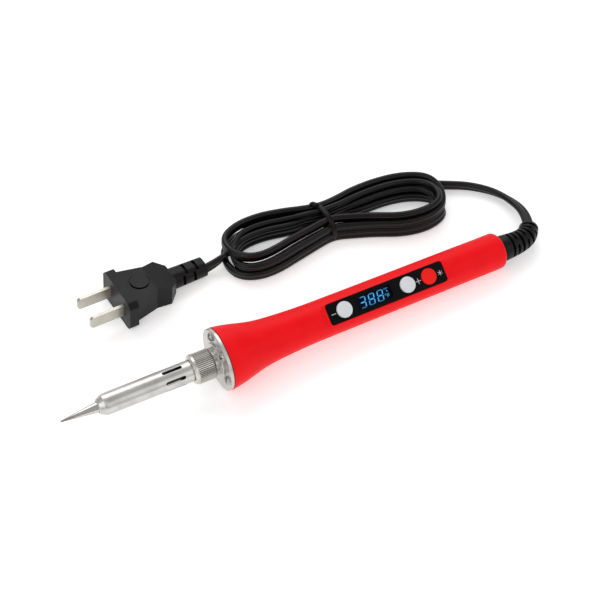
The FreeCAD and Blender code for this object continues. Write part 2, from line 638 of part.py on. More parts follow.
def controller_chip():
    x0 = BOARD_START + 27
    body = block(x0, x0 + 10, -1.95, 1.95, BOARD_BOTTOM - 1.7, BOARD_BOTTOM - 0.2)
    legs = []
    for i in range(8):
        x = x0 + 0.35 + 1.27 * i
        legs.append(block(x, x + 0.4, -3.0, 3.0, BOARD_BOTTOM - 0.5, BOARD_BOTTOM))
    return fused([body] + legs)


def supply_capacitor():
    radius = 3.1
    x0 = BOARD_START + 42
    can = rod(radius, x0, x0 + 11, 0, BOARD_BOTTOM - radius)
    return can


def film_capacitor():
    return under_board(BOARD_START + 57, 13, 4.7, 4.4)


def dropper_resistors():
    bodies = []
    for i, y in enumerate((-3.6, 0.0, 3.6)):
        x0 = BOARD_END - 19 + 1.5 * i
        z = BOARD_TOP + 1.25
        body = rod(1.15, x0, x0 + 6.2, y, z)
        wire = rod(0.3, x0 - 1.4, x0 + 7.6, y, z)
        feet = [post(0.3, x, y, BOARD_TOP, z) for x in (x0 - 1.2, x0 + 7.4)]
        bodies.append(fused([body, wire] + feet))
    return Part.makeCompound(bodies)


def rectifier_diodes():
    bodies = []
    for i in range(4):
        x0 = BOARD_END - 15 + 3.2 * i
        bodies.append(block(x0, x0 + 2.4, -2.1, 2.1, BOARD_BOTTOM - 2.0, BOARD_BOTTOM))
    return Part.makeCompound(bodies)


# ---------------------------------------------------------------- cord end in the handle
def cord_stub():
    """The last of the flat sheath, inside the handle."""
    x1 = REAR_WALL_FRONT - BOOT_HEAD_THICK
    x0 = x1 - STUB_LENGTH
    core = CORD_THICK / 2
    reach = CORD_WIDTH / 2 - core
    cores = [rod(core, x0, x1, y, 0) for y in (-reach, reach)]
    return fused(cores + [block(x0, x1, -reach, reach, -0.8 * core, 0.8 * core)])


def mains_leads():
    """The two cores, from the sheath's end onto the board's rear pads."""
    x1 = REAR_WALL_FRONT - BOOT_HEAD_THICK - STUB_LENGTH
    radius = 0.7
    leads = []
    for side in (-1, 1):
        end = V(x1, side * 1.15, 0)
        start = V(x1 - 1.2, side * 1.15, 0)
        knee = V(BOARD_END + radius + SLIP, side * 3.6, BOARD_TOP + radius)
        pad = V(BOARD_END - 3.0, side * 3.6, BOARD_TOP + radius)
        pieces = [Part.makeCylinder(radius, (b - a).Length, a, b - a)
                  for a, b in ((end, start), (start, knee), (knee, pad))]
        leads.append(fused(pieces + [Part.makeSphere(radius, p) for p in (start, knee)]))
    return Part.makeCompound(leads)


# ---------------------------------------------------------------- laying the iron down
def laid(shape, shift):
    """Roll the display to the user, rest rim and rear end on the floor, move to the origin."""
    copy = shape.copy()
    copy.rotate(ORIGIN, X_AXIS, ROLL)
    copy.rotate(ORIGIN, V(0, 1, 0), TILT)
    copy.translate(V(-shift, 0, AXIS_HEIGHT))
    return copy


# ---------------------------------------------------------------- boot and cord, on the floor
def boot_points():
    """The strain relief's centreline with its radius: it bends where the cord turns away."""
    root = laid(Part.Vertex(V(HANDLE_LENGTH - SKIN, 0, 0)), 0).Point
    route = [(root.x, root.y)] + BOOT_ROUTE
    count = len(route) - 1
    points = []
    for i, (x, y) in enumerate(route):
        share = i / count
        z = root.z + (BOOT_END_HEIGHT - root.z) * share
        points.append((V(x, y, z), BOOT_RADIUS + (BOOT_END_RADIUS - BOOT_RADIUS) * share))
    return points


def strain_relief_boot(shift):
    points = boot_points()
    axis = V(math.cos(math.radians(TILT)), 0, -AXIS_DROP)
    rings = []
    for i, (centre, radius) in enumerate(points):
        if i == 0:
            heading = axis
        elif i == len(points) - 1:
            heading = V(*LEAD_ROUTE[0]) - centre
        else:
            heading = points[i + 1][0] - points[i - 1][0]
        rings.append(Part.Wire([Part.makeCircle(radius, centre, heading)]))
    outside = Part.makeLoft(rings, True, False)
    head = fused([rod(GRIP_BORE - SLIP, REAR_WALL_FRONT - BOOT_HEAD_THICK, REAR_WALL_FRONT),
                  rod(BOOT_RADIUS, REAR_WALL_FRONT - SKIN, HANDLE_LENGTH)])
    head = laid(head, 0)
    boot = fused([outside, head])
    boot.translate(V(-shift, 0, 0))
    return boot


def moved(points, shift):
    return [(x - shift, y, z) for x, y, z in points]


def cord_tie(shift):
    """Twist tie round the hank's waist: a flat band bent to a rectangle with round corners."""
    y0, y1 = TIE_SIDES
    half = TIE_WIDTH / 2
    top = HANK_HEIGHT
    outer = block(TIE_AT - half, TIE_AT + half, y0 - TIE_THICK, y1 + TIE_THICK, 0, top)
    along = [e for e in outer.Edges if abs(e.tangentAt(e.FirstParameter).x) > 0.9]
    outer = outer.makeFillet(2.5, along)
    inner = block(TIE_AT - 9, TIE_AT + 9, y0, y1, TIE_THICK, top - TIE_THICK)
    along = [e for e in inner.Edges if abs(e.tangentAt(e.FirstParameter).x) > 0.9]
    inner = inner.makeFillet(1.8, along)
    band = outer.cut(inner)
    band.translate(V(-shift, 0, 0))
    return band


def cord_hank(shift):
    """Outer shape of the tied hank: pinched where the tie holds it."""
    curve = Part.BSplineCurve()
    curve.interpolate([V(x - shift, y, 0) for x, y in HANK_OUTLINE], PeriodicFlag=True)
    solid = Part.Face(Part.Wire([curve.toShape()])).extrude(V(0, 0, HANK_HEIGHT))
    x = TIE_AT - shift
    half = TIE_WIDTH / 2
    y0, y1 = TIE_SIDES
    channel = block(x - half, x + half, 0, 120, -1, HANK_HEIGHT + 1)
    waist = block(x - half - 1, x + half + 1, y0, y1, TIE_THICK, HANK_HEIGHT - TIE_THICK)
    along = [e for e in waist.Edges if abs(e.tangentAt(e.FirstParameter).x) > 0.9]
    return solid.cut(channel.cut(waist.makeFillet(1.8, along)))


# ---------------------------------------------------------------- plug
def plug_laid(shape, shift):
    copy = shape.copy()
    copy.rotate(ORIGIN, V(0, 1, 0), PLUG_TILT)
    copy.rotate(ORIGIN, V(0, 0, 1), PLUG_TURN)
    copy.translate(V(PLUG_FACE[0] - shift, PLUG_FACE[1], PLUG_HEIGHT))
    return copy


def relief_section(x, half_width, half_height):
    """Oval section of the plug's strain relief, as a closed wire at x."""
    flat = half_width - half_height
    points = [V(x, -flat, -half_height), V(x, flat, -half_height), V(x, half_width, 0),
              V(x, flat, half_height), V(x, -flat, half_height), V(x, -half_width, 0)]
    return Part.Wire([Part.LineSegment(points[0], points[1]).toShape(),
                      Part.Arc(points[1], points[2], points[3]).toShape(),
                      Part.LineSegment(points[3], points[4]).toShape(),
                      Part.Arc(points[4], points[5], points[0]).toShape()])


def plug_blades():
    blades = []
    for side in (-1, 1):
        y = side * BLADE_SPACING / 2
        half = BLADE_HEIGHT / 2
        side_view = [V(BLADE_ROOT, y, -half), V(-BLADE_LENGTH + 1.2, y, -half),
                     V(-BLADE_LENGTH, y, -half + 1.0), V(-BLADE_LENGTH, y, half - 1.0),
                     V(-BLADE_LENGTH + 1.2, y, half), V(BLADE_ROOT, y, half)]
        face = Part.Face(Part.makePolygon(side_view + [side_view[0]]))
        face.translate(V(0, -BLADE_THICK / 2, 0))
        blades.append(face.extrude(V(0, BLADE_THICK, 0)))
    return Part.makeCompound(blades)


def blade_carrier():
    """Hard insert that holds the two blades inside the soft body."""
    body = block(CARRIER_START, BLADE_ROOT - 1.5, -CARRIER_HALF_WIDTH, CARRIER_HALF_WIDTH,
                 -CARRIER_HALF_HEIGHT, CARRIER_HALF_HEIGHT)
    return body.cut(plug_blades())


def plug_body():
    face = block(0, FACE_THICK, -FACE_HALF_WIDTH, FACE_HALF_WIDTH, -FACE_HALF_HEIGHT,
                 FACE_HALF_HEIGHT)
    along = [e for e in face.Edges if abs(e.tangentAt(e.FirstParameter).x) > 0.9]
    face = face.makeFillet(FACE_CORNER, along)
    plan = plate(BODY_PLAN + [(x, -y) for x, y in reversed(BODY_PLAN)], -20, 20)
    side = [V(x, -20, z) for x, z in BODY_SIDE + [(x, -z) for x, z in reversed(BODY_SIDE)]]
    side = Part.Face(Part.makePolygon(side + [side[0]])).extrude(V(0, 40, 0))
    middle = plan.common(side)
    relief_start = BODY_PLAN[-1][0] - 1
    relief = Part.makeLoft([relief_section(relief_start, RELIEF_HALF_WIDTH[0], RELIEF_HALF_HEIGHT[0]),
                            relief_section(RELIEF_END, RELIEF_HALF_WIDTH[1], RELIEF_HALF_HEIGHT[1])],
                           True, True)
    # staggered slots: a pair at the sides, then a pair at the top and bottom
    half_y = RELIEF_TOP_CUT * RELIEF_HALF_WIDTH[0]
    half_z = RELIEF_SIDE_CUT * RELIEF_HALF_HEIGHT[0]
    for x in RELIEF_GROOVES:
        back = x + RELIEF_GROOVE + RELIEF_WEB
        slots = fused([block(x, x + RELIEF_GROOVE, -20, 20, -half_z, half_z),
                       block(back, back + RELIEF_GROOVE, -half_y, half_y, -20, 20)])
        inner = Part.Face(relief_section(x - 1, RELIEF_CORE * RELIEF_HALF_WIDTH[0],
                                         RELIEF_CORE * RELIEF_HALF_HEIGHT[0]))
        relief = relief.cut(slots.cut(inner.extrude(V(back - x + RELIEF_GROOVE + 2, 0, 0))))
    moat = post(THUMB_RADIUS + THUMB_GROOVE, THUMB_AT, 0, BODY_HALF_HEIGHT - THUMB_GROOVE,
                BODY_HALF_HEIGHT + 1)
    thumb = post(THUMB_RADIUS, THUMB_AT, 0, BODY_HALF_HEIGHT - 1, BODY_HALF_HEIGHT + THUMB_RISE)
    body = fused([face, middle.cut(moat), relief, thumb])
    return body.cut([blade_carrier(), plug_blades()])


# ---------------------------------------------------------------- the whole model
light, glass = lcd_stack()
iron = {
    "soldering_tip": soldering_tip(),
    "tip_barrel": tip_barrel(),
    "retaining_nut": retaining_nut(),
    "threaded_ferrule": threaded_ferrule(),
    "front_flange": front_flange(),
    "flange_screws": flange_screws(),
    "flange_gasket": flange_gasket(),
    "heating_element": heating_element(),
    "heater_bush": heater_bush(),
    "heater_leads": heater_leads(),
    "lead_sleeve": lead_sleeve(),
    "handle_shell": handle_shell(),
    "display_panel": display_panel(),
    "display_window": display_window(),
    "lcd_backlight": light,
    "lcd_glass": glass,
    "switch_bodies": switch_bodies(),
    "circuit_board": circuit_board(),
    "triac": triac(),
    "controller_chip": controller_chip(),
    "supply_capacitor": supply_capacitor(),
    "film_capacitor": film_capacitor(),
    "dropper_resistors": dropper_resistors(),
    "rectifier_diodes": rectifier_diodes(),
    "cord_stub": cord_stub(),
    "mains_leads": mains_leads(),
}
for name, offset in BUTTONS.items():
    iron[name + "_button"] = button(offset)
    iron[name + "_plunger"] = plunger(offset)

# The origin is below the middle of the iron, boot included, cord not.
nose = laid(iron["soldering_tip"], 0).optimalBoundingBox(False).XMin
tail = strain_relief_boot(0).optimalBoundingBox(False).XMax
shift = (nose + tail) / 2

nodes = {name: laid(shape, shift) for name, shape in iron.items()}
nodes["strain_relief_boot"] = strain_relief_boot(shift)
nodes["cord_tie"] = cord_tie(shift)
nodes["cord_hank"] = cord_hank(shift)
nodes["plug_blades"] = plug_laid(plug_blades(), shift)
nodes["blade_carrier"] = plug_laid(blade_carrier(), shift)
nodes["plug_body"] = plug_laid(plug_body(), shift)

boot_end = boot_points()[-1][0]
print("cord from the boot to the hank:")
lead, length = strung(moved([tuple(boot_end)] + LEAD_ROUTE, shift), CORD_WIDTH / 2)
print("  length %.1f, volume against section times length %.3f" % (
    length, lead.Volume / (math.pi * CORD_WIDTH ** 2 / 4 * length)))
relief_end = plug_laid(Part.Vertex(V(RELIEF_END, 0, 0)), 0).Point
print("cord from the plug to the hank:")
tail_run, tail_length = strung(moved([tuple(relief_end)] + TAIL_ROUTE, shift), CORD_WIDTH / 2)
nodes["cord_lead"] = lead.cut(nodes["cord_hank"])
nodes["cord_tail"] = tail_run.cut([nodes["cord_hank"], nodes["plug_body"]])

for name, shape in nodes.items():
    solids = shape.Solids
    assert solids and all(s.isValid() and s.Volume > 0 for s in solids), name
    whole = solids[0] if len(solids) == 1 else Part.makeCompound(solids)
    whole.exportStep("parts/%s.step" % name)
    b = whole.optimalBoundingBox(False)
    print("%-20s %2d solid  x %7.2f..%7.2f  y %7.2f..%7.2f  z %6.2f..%6.2f  %9.1f mm3" % (
        name, len(solids), b.XMin, b.XMax, b.YMin, b.YMax, b.ZMin, b.ZMax, whole.Volume))
print("nodes %d, shift %.3f, tilt %.3f, plug tilt %.3f" % (len(nodes), shift, TILT, PLUG_TILT))
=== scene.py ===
# %% [markdown]
# # A soldering iron with a digital display
#
# This file builds the looks of a mains soldering iron around its working parts. The working parts
# (tip, barrel, nut, handle, buttons, plug) come from a CAD model, at their real size and place. Here
# they get their materials, and the soft or finely shaped pieces are modelled: the flat cord in its
# tied hank, the ribbed boot, the wire tie, and the figures and marks of the display panel.
#
# Everything is in metres. The iron lies on the floor along X, with its tip towards -X.

import json
import math

import bmesh
import bpy
from mathutils import Matrix, Vector


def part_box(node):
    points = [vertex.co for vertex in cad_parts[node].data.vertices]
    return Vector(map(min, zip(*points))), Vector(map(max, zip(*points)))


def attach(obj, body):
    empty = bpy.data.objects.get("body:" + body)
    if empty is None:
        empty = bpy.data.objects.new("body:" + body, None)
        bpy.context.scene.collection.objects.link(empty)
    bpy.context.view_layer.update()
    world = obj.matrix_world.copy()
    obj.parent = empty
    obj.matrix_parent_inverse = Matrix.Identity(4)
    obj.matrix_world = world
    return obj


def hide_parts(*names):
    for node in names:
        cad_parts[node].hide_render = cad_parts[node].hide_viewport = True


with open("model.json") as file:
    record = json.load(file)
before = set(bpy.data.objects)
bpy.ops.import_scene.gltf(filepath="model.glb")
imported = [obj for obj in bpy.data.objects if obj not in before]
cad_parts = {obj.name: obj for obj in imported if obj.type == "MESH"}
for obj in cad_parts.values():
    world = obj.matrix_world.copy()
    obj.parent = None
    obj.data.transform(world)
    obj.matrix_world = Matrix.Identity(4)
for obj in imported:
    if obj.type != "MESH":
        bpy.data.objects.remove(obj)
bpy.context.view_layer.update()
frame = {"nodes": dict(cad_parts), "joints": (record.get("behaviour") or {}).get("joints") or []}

MM = 0.001

# %% [markdown]
# ## The camera
#
# A long lens from 0.65 m away flattens the perspective, which suits a small tool. The camera looks
# down at about 50 degrees, and from the tip's side, so that the iron runs from the lower left to the
# upper right and the display faces the lens.

# %% Camera
CAMERA_AT = Vector((-191.06, -340.27, 503.93)) * MM
LOOK_AT = Vector((3.81, 23.08, 0.0)) * MM

lens = bpy.data.cameras.new("camera")
lens.sensor_width = 36
lens.lens = 84.87
lens.clip_start, lens.clip_end = 0.02, 20
camera = bpy.data.objects.new("camera", lens)
bpy.context.scene.collection.objects.link(camera)
camera.location = CAMERA_AT
camera.rotation_euler = (LOOK_AT - CAMERA_AT).to_track_quat("-Z", "Y").to_euler()
bpy.context.scene.camera = camera
print("camera is %.0f mm away" % ((LOOK_AT - CAMERA_AT).length / MM))

# %% [markdown]
# ## The iron's axes
#
# The iron lies a little tilted and rolled, so its own axes are not those of the world. The joints tell
# where they point: the barrel slides along the iron's x axis, and the buttons are pressed against its
# z axis, which is the panel's normal. Sizes along the iron are measured from the middle of the
# handle's front rim.

# %% The iron's axes
NUT_TURNS_AT = 9.5      # the nut's joint is this far in front of the rim

joints = {j["name"]: j for j in frame["joints"]}
x_axis = -Vector(joints["barrel_slide"]["axis"]).normalized()
z_axis = -Vector(joints["power_button"]["axis"]).normalized()
y_axis = z_axis.cross(x_axis)
rim = Vector(joints["nut_turn"]["pos_m"]) + NUT_TURNS_AT * MM * x_axis

# %% [markdown]
# ## Helpers for colours and nodes
#
# A colour is written as the hex value that a paint program shows, which is in sRGB. Shaders work in
# linear light, so one function turns the one into the other. A second function adds a node to a
# material, sets its values and links its inputs, so that each material below reads as a short list.


# %% Colours and nodes
def rgb(hex_value):
    """The linear colour, with alpha, of an sRGB hex value."""
    parts = [int(hex_value[i:i + 2], 16) / 255 for i in (1, 3, 5)]
    return (*[c / 12.92 if c <= 0.04045 else ((c + 0.055) / 1.055) ** 2.4 for c in parts], 1.0)


def new_material(name):
    """An empty material with its Principled shader, ready for nodes."""
    material = bpy.data.materials.new(name)
    material.use_nodes = True
    return material, material.node_tree.nodes["Principled BSDF"]


def node(material, kind, settings=None, **inputs):
    """Add a node. An input is a plain value, or another node's output socket."""
    made = material.node_tree.nodes.new("ShaderNode" + kind)
    for key, value in (settings or {}).items():
        setattr(made, key, value)
    for key, value in inputs.items():
        socket = made.inputs[int(key[1:]) if key[1:].isdigit() else key.replace("_", " ")]
        if isinstance(value, bpy.types.NodeSocket):
            material.node_tree.links.new(value, socket)
        else:
            socket.default_value = value
    return made


def plug_in(material, socket, output):
    material.node_tree.links.new(output, socket)


def ramp(material, factor, *stops):
    """A colour ramp over (position, grey or hex colour) stops."""
    made = node(material, "ValToRGB", Fac=factor)
    elements = made.color_ramp.elements
    while len(elements) < len(stops):
        elements.new(0.5)
    for element, (position, value) in zip(elements, stops):
        element.position = position
        element.color = rgb(value) if isinstance(value, str) else (value, value, value, 1)
    return made.outputs["Color"]


def scale_for(size_mm):
    """Noise scale, in Object coordinates in metres, that gives features of about this size."""
    return 1.0 / (size_mm * MM)


# %% [markdown]
# ## Moulded plastics and rubber
#
# A moulded part copies the surface of its steel mould. The handle's nylon comes out of a spark-eroded
# mould, so it has a very fine grain and a satin sheen that is a little uneven. The same recipe serves
# the boot, the plug and the cord with other colours and grain sizes: fine noise goes into the bump and
# a coarser noise into roughness and colour, so that a highlight breaks up slightly as it does on a
# handled tool.


# %% Moulded surfaces
def moulded(name, colour, second, roughness, grain_mm, bump, mottle_mm=9.0, ior=1.5, shine=0.5):
    """A moulded surface: grain in the bump, slow mottle in roughness and colour."""
    material, shader = new_material(name)
    place = node(material, "TexCoord").outputs["Object"]
    grain = node(material, "TexNoise", Vector=place, Scale=scale_for(grain_mm), Detail=3.0,
                 Roughness=0.6)
    mottle = node(material, "TexNoise", Vector=place, Scale=scale_for(mottle_mm), Detail=4.0,
                  Roughness=0.55)
    plug_in(material, shader.inputs["Base Color"],
            ramp(material, mottle.outputs["Fac"], (0.36, colour), (0.66, second)))
    rough = node(material, "MapRange", Value=mottle.outputs["Fac"], From_Min=0.3, From_Max=0.7,
                 To_Min=roughness - 0.05, To_Max=roughness + 0.06)
    plug_in(material, shader.inputs["Roughness"], rough.outputs["Result"])
    lift = node(material, "Bump", Height=grain.outputs["Fac"], Strength=bump, Distance=0.00008)
    plug_in(material, shader.inputs["Normal"], lift.outputs["Normal"])
    shader.inputs["IOR"].default_value = ior
    shader.inputs["Specular IOR Level"].default_value = shine
    return material


# PA6 nylon: spark-eroded grain of about 0.3 mm gives a satin, slightly waxy red
nylon_red = moulded("nylon_pa6_red_spark_eroded", "#EE0911", "#F40E17", 0.44, 0.35, 0.35,
                    shine=0.12)
# plasticised PVC: smooth extruded sheath, satin black with soft long highlights
pvc_cord = moulded("pvc_black_extruded", "#040405", "#070708", 0.30, 0.8, 0.18, ior=1.52, shine=0.24)
# moulded PVC of the boot and the plug: a fine matt grain
pvc_boot = moulded("pvc_black_moulded", "#040405", "#070708", 0.40, 0.3, 0.35, ior=1.52,
                    shine=0.2)
pvc_plug = moulded("pvc_black_plug", "#040405", "#070708", 0.40, 0.4, 0.4, ior=1.52, shine=0.2)
# ABS button caps: pale grey and red, fine satin
abs_pale = moulded("abs_pale_grey_satin", "#D5D7DC", "#DCDEE2", 0.38, 0.25, 0.15)
abs_red = moulded("abs_red_satin", "#F3160F", "#F61C16", 0.38, 0.25, 0.15, shine=0.15)
abs_black = moulded("abs_black_satin", "#0D0D0E", "#131314", 0.45, 0.3, 0.2)
fibre_black = moulded("vulcanised_fibre_black", "#0A0A0A", "#161514", 0.75, 0.2, 0.6, mottle_mm=2.0)
alumina = moulded("alumina_fired_white", "#E9E6DF", "#F0EEE8", 0.55, 0.15, 0.4, mottle_mm=4.0,
                  ior=1.76)
steatite = moulded("steatite_pressed_cream", "#DDD5C3", "#E6DFCF", 0.6, 0.2, 0.5, mottle_mm=4.0)
glass_sleeve = moulded("glass_fibre_sleeve_white", "#D8D5CA", "#EBE9E2", 0.7, 0.5, 0.9, mottle_mm=1.5)
silicone_wire = moulded("silicone_wire_white", "#DEDCD5", "#E8E6E0", 0.5, 0.4, 0.2)
pvc_blue = moulded("pvc_core_blue", "#1D3F8F", "#234A9E", 0.42, 0.4, 0.2)
solder_mask = moulded("fr4_green_solder_mask", "#0E5A2B", "#137036", 0.35, 1.2, 0.3, mottle_mm=3.0)
epoxy_black = moulded("epoxy_black_package", "#121213", "#1A1A1B", 0.55, 0.2, 0.3)
film_yellow = moulded("polyester_film_box_yellow", "#C69A1E", "#D0A62C", 0.45, 0.3, 0.2)
lacquer_blue = moulded("resistor_lacquer_blue", "#3E7C9A", "#4C8CA8", 0.4, 0.3, 0.2)
sleeve_dark = moulded("capacitor_sleeve_dark", "#26304A", "#2F3A57", 0.4, 0.4, 0.2)

# %% [markdown]
# ## Metals
#
# The collar, nut, flange and barrel are steel: turned or drawn, then nickel plated or polished.
# Turning leaves rings that run round the axis. A noise that is stretched so that it changes quickly
# along the iron's axis and hardly at all round it draws those rings. The iron lies nearly along X, so
# Object coordinates scaled along X are enough. The rings go into roughness and a slight bump.
#
# Some surfaces get painted shade because of where they lie: the inside of the barrel, the tip's shank
# and the ceramics seen through the vents, and the grooves of the knurl. Their distance from the iron's
# axis tells them from the bright surfaces outside, so one helper paints shade inside a radius.


# %% Turned and plated metals
MIX_FROM, MIX_TO, MIX_RESULT = 6, 7, 2      # colour sockets of a Mix node
RING_STRETCH = (1.0, 0.02, 0.02)            # noise that changes along X and hardly round it


def round_the_iron(material):
    """Distance behind the handle's rim and distance from the iron's axis, both in metres."""
    place = node(material, "TexCoord").outputs["Object"]
    offset = node(material, "VectorMath", {"operation": "SUBTRACT"}, i0=place, i1=tuple(rim))
    along = node(material, "VectorMath", {"operation": "DOT_PRODUCT"}, i0=offset.outputs["Vector"],
                 i1=tuple(x_axis)).outputs["Value"]
    across = node(material, "VectorMath", {"operation": "CROSS_PRODUCT"}, i0=offset.outputs["Vector"],
                  i1=tuple(x_axis))
    radius = node(material, "VectorMath", {"operation": "LENGTH"},
                  i0=across.outputs["Vector"]).outputs["Value"]
    return along, radius


def shade_inside(material, shader, colour, start, end, low, high):
    """Paint shade onto a stretch of the iron nearer its axis than a radius.

    start and end lie behind the rim, and the dark fades in between the radii high and low, all in mm.
    """
    along, radius = round_the_iron(material)
    depth = node(material, "MapRange", Value=radius, From_Min=high * MM, From_Max=low * MM,
                 To_Min=0.0, To_Max=1.0).outputs["Result"]
    after = node(material, "Math", {"operation": "GREATER_THAN"}, i0=along, i1=start * MM)
    before = node(material, "Math", {"operation": "LESS_THAN"}, i0=along, i1=end * MM)
    inside = node(material, "Math", {"operation": "MULTIPLY"}, i0=after.outputs["Value"],
                  i1=before.outputs["Value"])
    amount = node(material, "Math", {"operation": "MULTIPLY"}, i0=depth, i1=inside.outputs["Value"])
    old = shader.inputs["Base Color"].links[0].from_socket
    mix = node(material, "Mix", {"data_type": "RGBA"})
    plug_in(material, mix.inputs["Factor"], amount.outputs["Value"])
    plug_in(material, mix.inputs[MIX_FROM], old)
    mix.inputs[MIX_TO].default_value = rgb(colour)
    plug_in(material, shader.inputs["Base Color"], mix.outputs[MIX_RESULT])
    metal = shader.inputs["Metallic"].default_value
    dull = node(material, "Math", {"operation": "MULTIPLY_ADD"}, i0=amount.outputs["Value"], i1=-metal,
                i2=metal)
    plug_in(material, shader.inputs["Metallic"], dull.outputs["Value"])


def plated(name, colour, dark, roughness, ring_mm, bump, spread=0.08, shaded=None):
    """Turned metal: rings along the axis in roughness and bump, a slow tone in the colour."""
    material, shader = new_material(name)
    place = node(material, "TexCoord").outputs["Object"]
    stretched = node(material, "Mapping", Vector=place, Scale=RING_STRETCH)
    rings = node(material, "TexNoise", Vector=stretched.outputs["Vector"], Scale=scale_for(ring_mm),
                 Detail=3.0, Roughness=0.7)
    cloud = node(material, "TexNoise", Vector=place, Scale=scale_for(5.0), Detail=4.0)
    plug_in(material, shader.inputs["Base Color"],
            ramp(material, cloud.outputs["Fac"], (0.3, dark), (0.62, colour)))
    blend = node(material, "Math", {"operation": "MULTIPLY_ADD"}, i0=rings.outputs["Fac"],
                 i1=spread * 2, i2=roughness - spread)
    plug_in(material, shader.inputs["Roughness"], blend.outputs["Value"])
    lift = node(material, "Bump", Height=rings.outputs["Fac"], Strength=bump, Distance=0.00004)
    plug_in(material, shader.inputs["Normal"], lift.outputs["Normal"])
    shader.inputs["Metallic"].default_value = 1.0
    if shaded:
        shade_inside(material, shader, *shaded)
    return material


# painted shade: start and end behind the rim, then the radii that the shade fades between, in mm
VENT_SHADE = (-28.6, -17.2, 4.6, 4.8)
KNURL_SHADE = (-12.55, -4.8, 6.76, 7.02)
SHANK_SHADE = (-54.0, -10.0, 4.2, 4.34)

# 304 stainless tube, brushed round its axis: soft reflections, and painted shade inside, under the
# vents
steel_barrel = plated("stainless_304_brushed_shaded_inside", "#CFCDCA", "#BFBDBA", 0.34, 0.25, 0.12,
                      shaded=("#0B0A09", *VENT_SHADE))
# nickel over turned brass or steel: warmer and a little softer than chrome
nickel_turned = plated("nickel_on_turned_steel", "#D2CFC9", "#C2BFB9", 0.28, 0.2, 0.15)
# painted shade in the grooves of the nut's knurl, where the steep walls fall into shade
nickel_knurled = plated("nickel_on_knurled_nut_shaded_grooves", "#D6D3CD", "#C8C5BF", 0.34, 0.6, 0.05,
                        shaded=("#55514B", *KNURL_SHADE))
# pressed and satin plated flange: its face is matt grey
nickel_satin = plated("nickel_satin_flange", "#CFCDC9", "#BFBDB9", 0.38, 0.3, 0.2)
zinc_screw = plated("zinc_plated_screw", "#B2B0AC", "#94928E", 0.30, 0.2, 0.2)
nickel_blade = plated("nickel_on_brass_blade", "#C6C2B8", "#B9B4A9", 0.42, 0.35, 0.12)


BROWN_FROM, BROWN_FULL = 9, 1      # the heat's brown, in mm from the tip's point


def tip_plating():
    """Iron-plated copper with a chromed cone: bright, heat-browned for the last few millimetres."""
    material, shader = new_material("iron_plated_tip_chromed")
    place = node(material, "TexCoord").outputs["Object"]
    low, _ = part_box("soldering_tip")
    along = node(material, "SeparateXYZ", Vector=place).outputs["X"]
    near_point = node(material, "MapRange", Value=along, From_Min=low.x + BROWN_FROM * MM,
                      From_Max=low.x + BROWN_FULL * MM, To_Min=0.0, To_Max=1.0).outputs["Result"]
    stain = node(material, "TexNoise", Vector=place, Scale=scale_for(1.6), Detail=4.0, Roughness=0.6)
    amount = node(material, "Math", {"operation": "MULTIPLY"}, i0=near_point, i1=stain.outputs["Fac"])
    plug_in(material, shader.inputs["Base Color"],
            ramp(material, amount.outputs["Value"], (0.0, "#C6C4C1"), (0.25, "#A39E98"),
                 (0.6, "#7C756E")))
    rough = node(material, "MapRange", Value=amount.outputs["Value"], From_Min=0.0, From_Max=0.6,
                 To_Min=0.22, To_Max=0.42)
    plug_in(material, shader.inputs["Roughness"], rough.outputs["Result"])
    shader.inputs["Metallic"].default_value = 1.0
    lift = node(material, "Bump", Height=stain.outputs["Fac"], Strength=0.15, Distance=0.00005)
    plug_in(material, shader.inputs["Normal"], lift.outputs["Normal"])
    # the shank inside the barrel gets painted shade, so that the vents look dark
    shade_inside(material, shader, "#0D0C0B", *SHANK_SHADE)
    return material


tip_metal = tip_plating()
# the ceramics inside the barrel get painted shade as well, over the same stretch
shade_inside(steatite, steatite.node_tree.nodes["Principled BSDF"], "#4A443C", *SHANK_SHADE)
shade_inside(alumina, alumina.node_tree.nodes["Principled BSDF"], "#2A2622", *SHANK_SHADE)

# %% [markdown]
# ## The display
#
# The panel is a glossy black film over ABS. Its window is a clear lens with a rim that is printed
# black, and behind it lies a liquid crystal cell with a blue backlight: the background glows a very
# deep blue, brighter towards the middle, and the figures are pale cyan. The glow is emission, because
# light comes out of the cell itself. Where the lens is clear its alpha is low, so that the cell shows
# straight through it.


# %% Panel, window and cell
LENS_RIM = 1.4         # printed rim of the lens
LENS_FADE = 0.2        # its soft inner edge
LENS_HAZE = 0.10       # alpha of the clear part


def panel_film():
    """PMMA-faced film: gloss black, under a hard clear coat with faint waves."""
    material, shader = new_material("pmma_black_gloss_film")
    place = node(material, "TexCoord").outputs["Object"]
    wave = node(material, "TexNoise", Vector=place, Scale=scale_for(6.0), Detail=2.0)
    plug_in(material, shader.inputs["Base Color"],
            ramp(material, wave.outputs["Fac"], (0.3, "#050506"), (0.7, "#09090B")))
    rough = node(material, "MapRange", Value=wave.outputs["Fac"], To_Min=0.10, To_Max=0.20)
    plug_in(material, shader.inputs["Roughness"], rough.outputs["Result"])
    lift = node(material, "Bump", Height=wave.outputs["Fac"], Strength=0.05, Distance=0.0002)
    plug_in(material, shader.inputs["Normal"], lift.outputs["Normal"])
    shader.inputs["IOR"].default_value = 1.49
    shader.inputs["Specular IOR Level"].default_value = 0.06
    return material


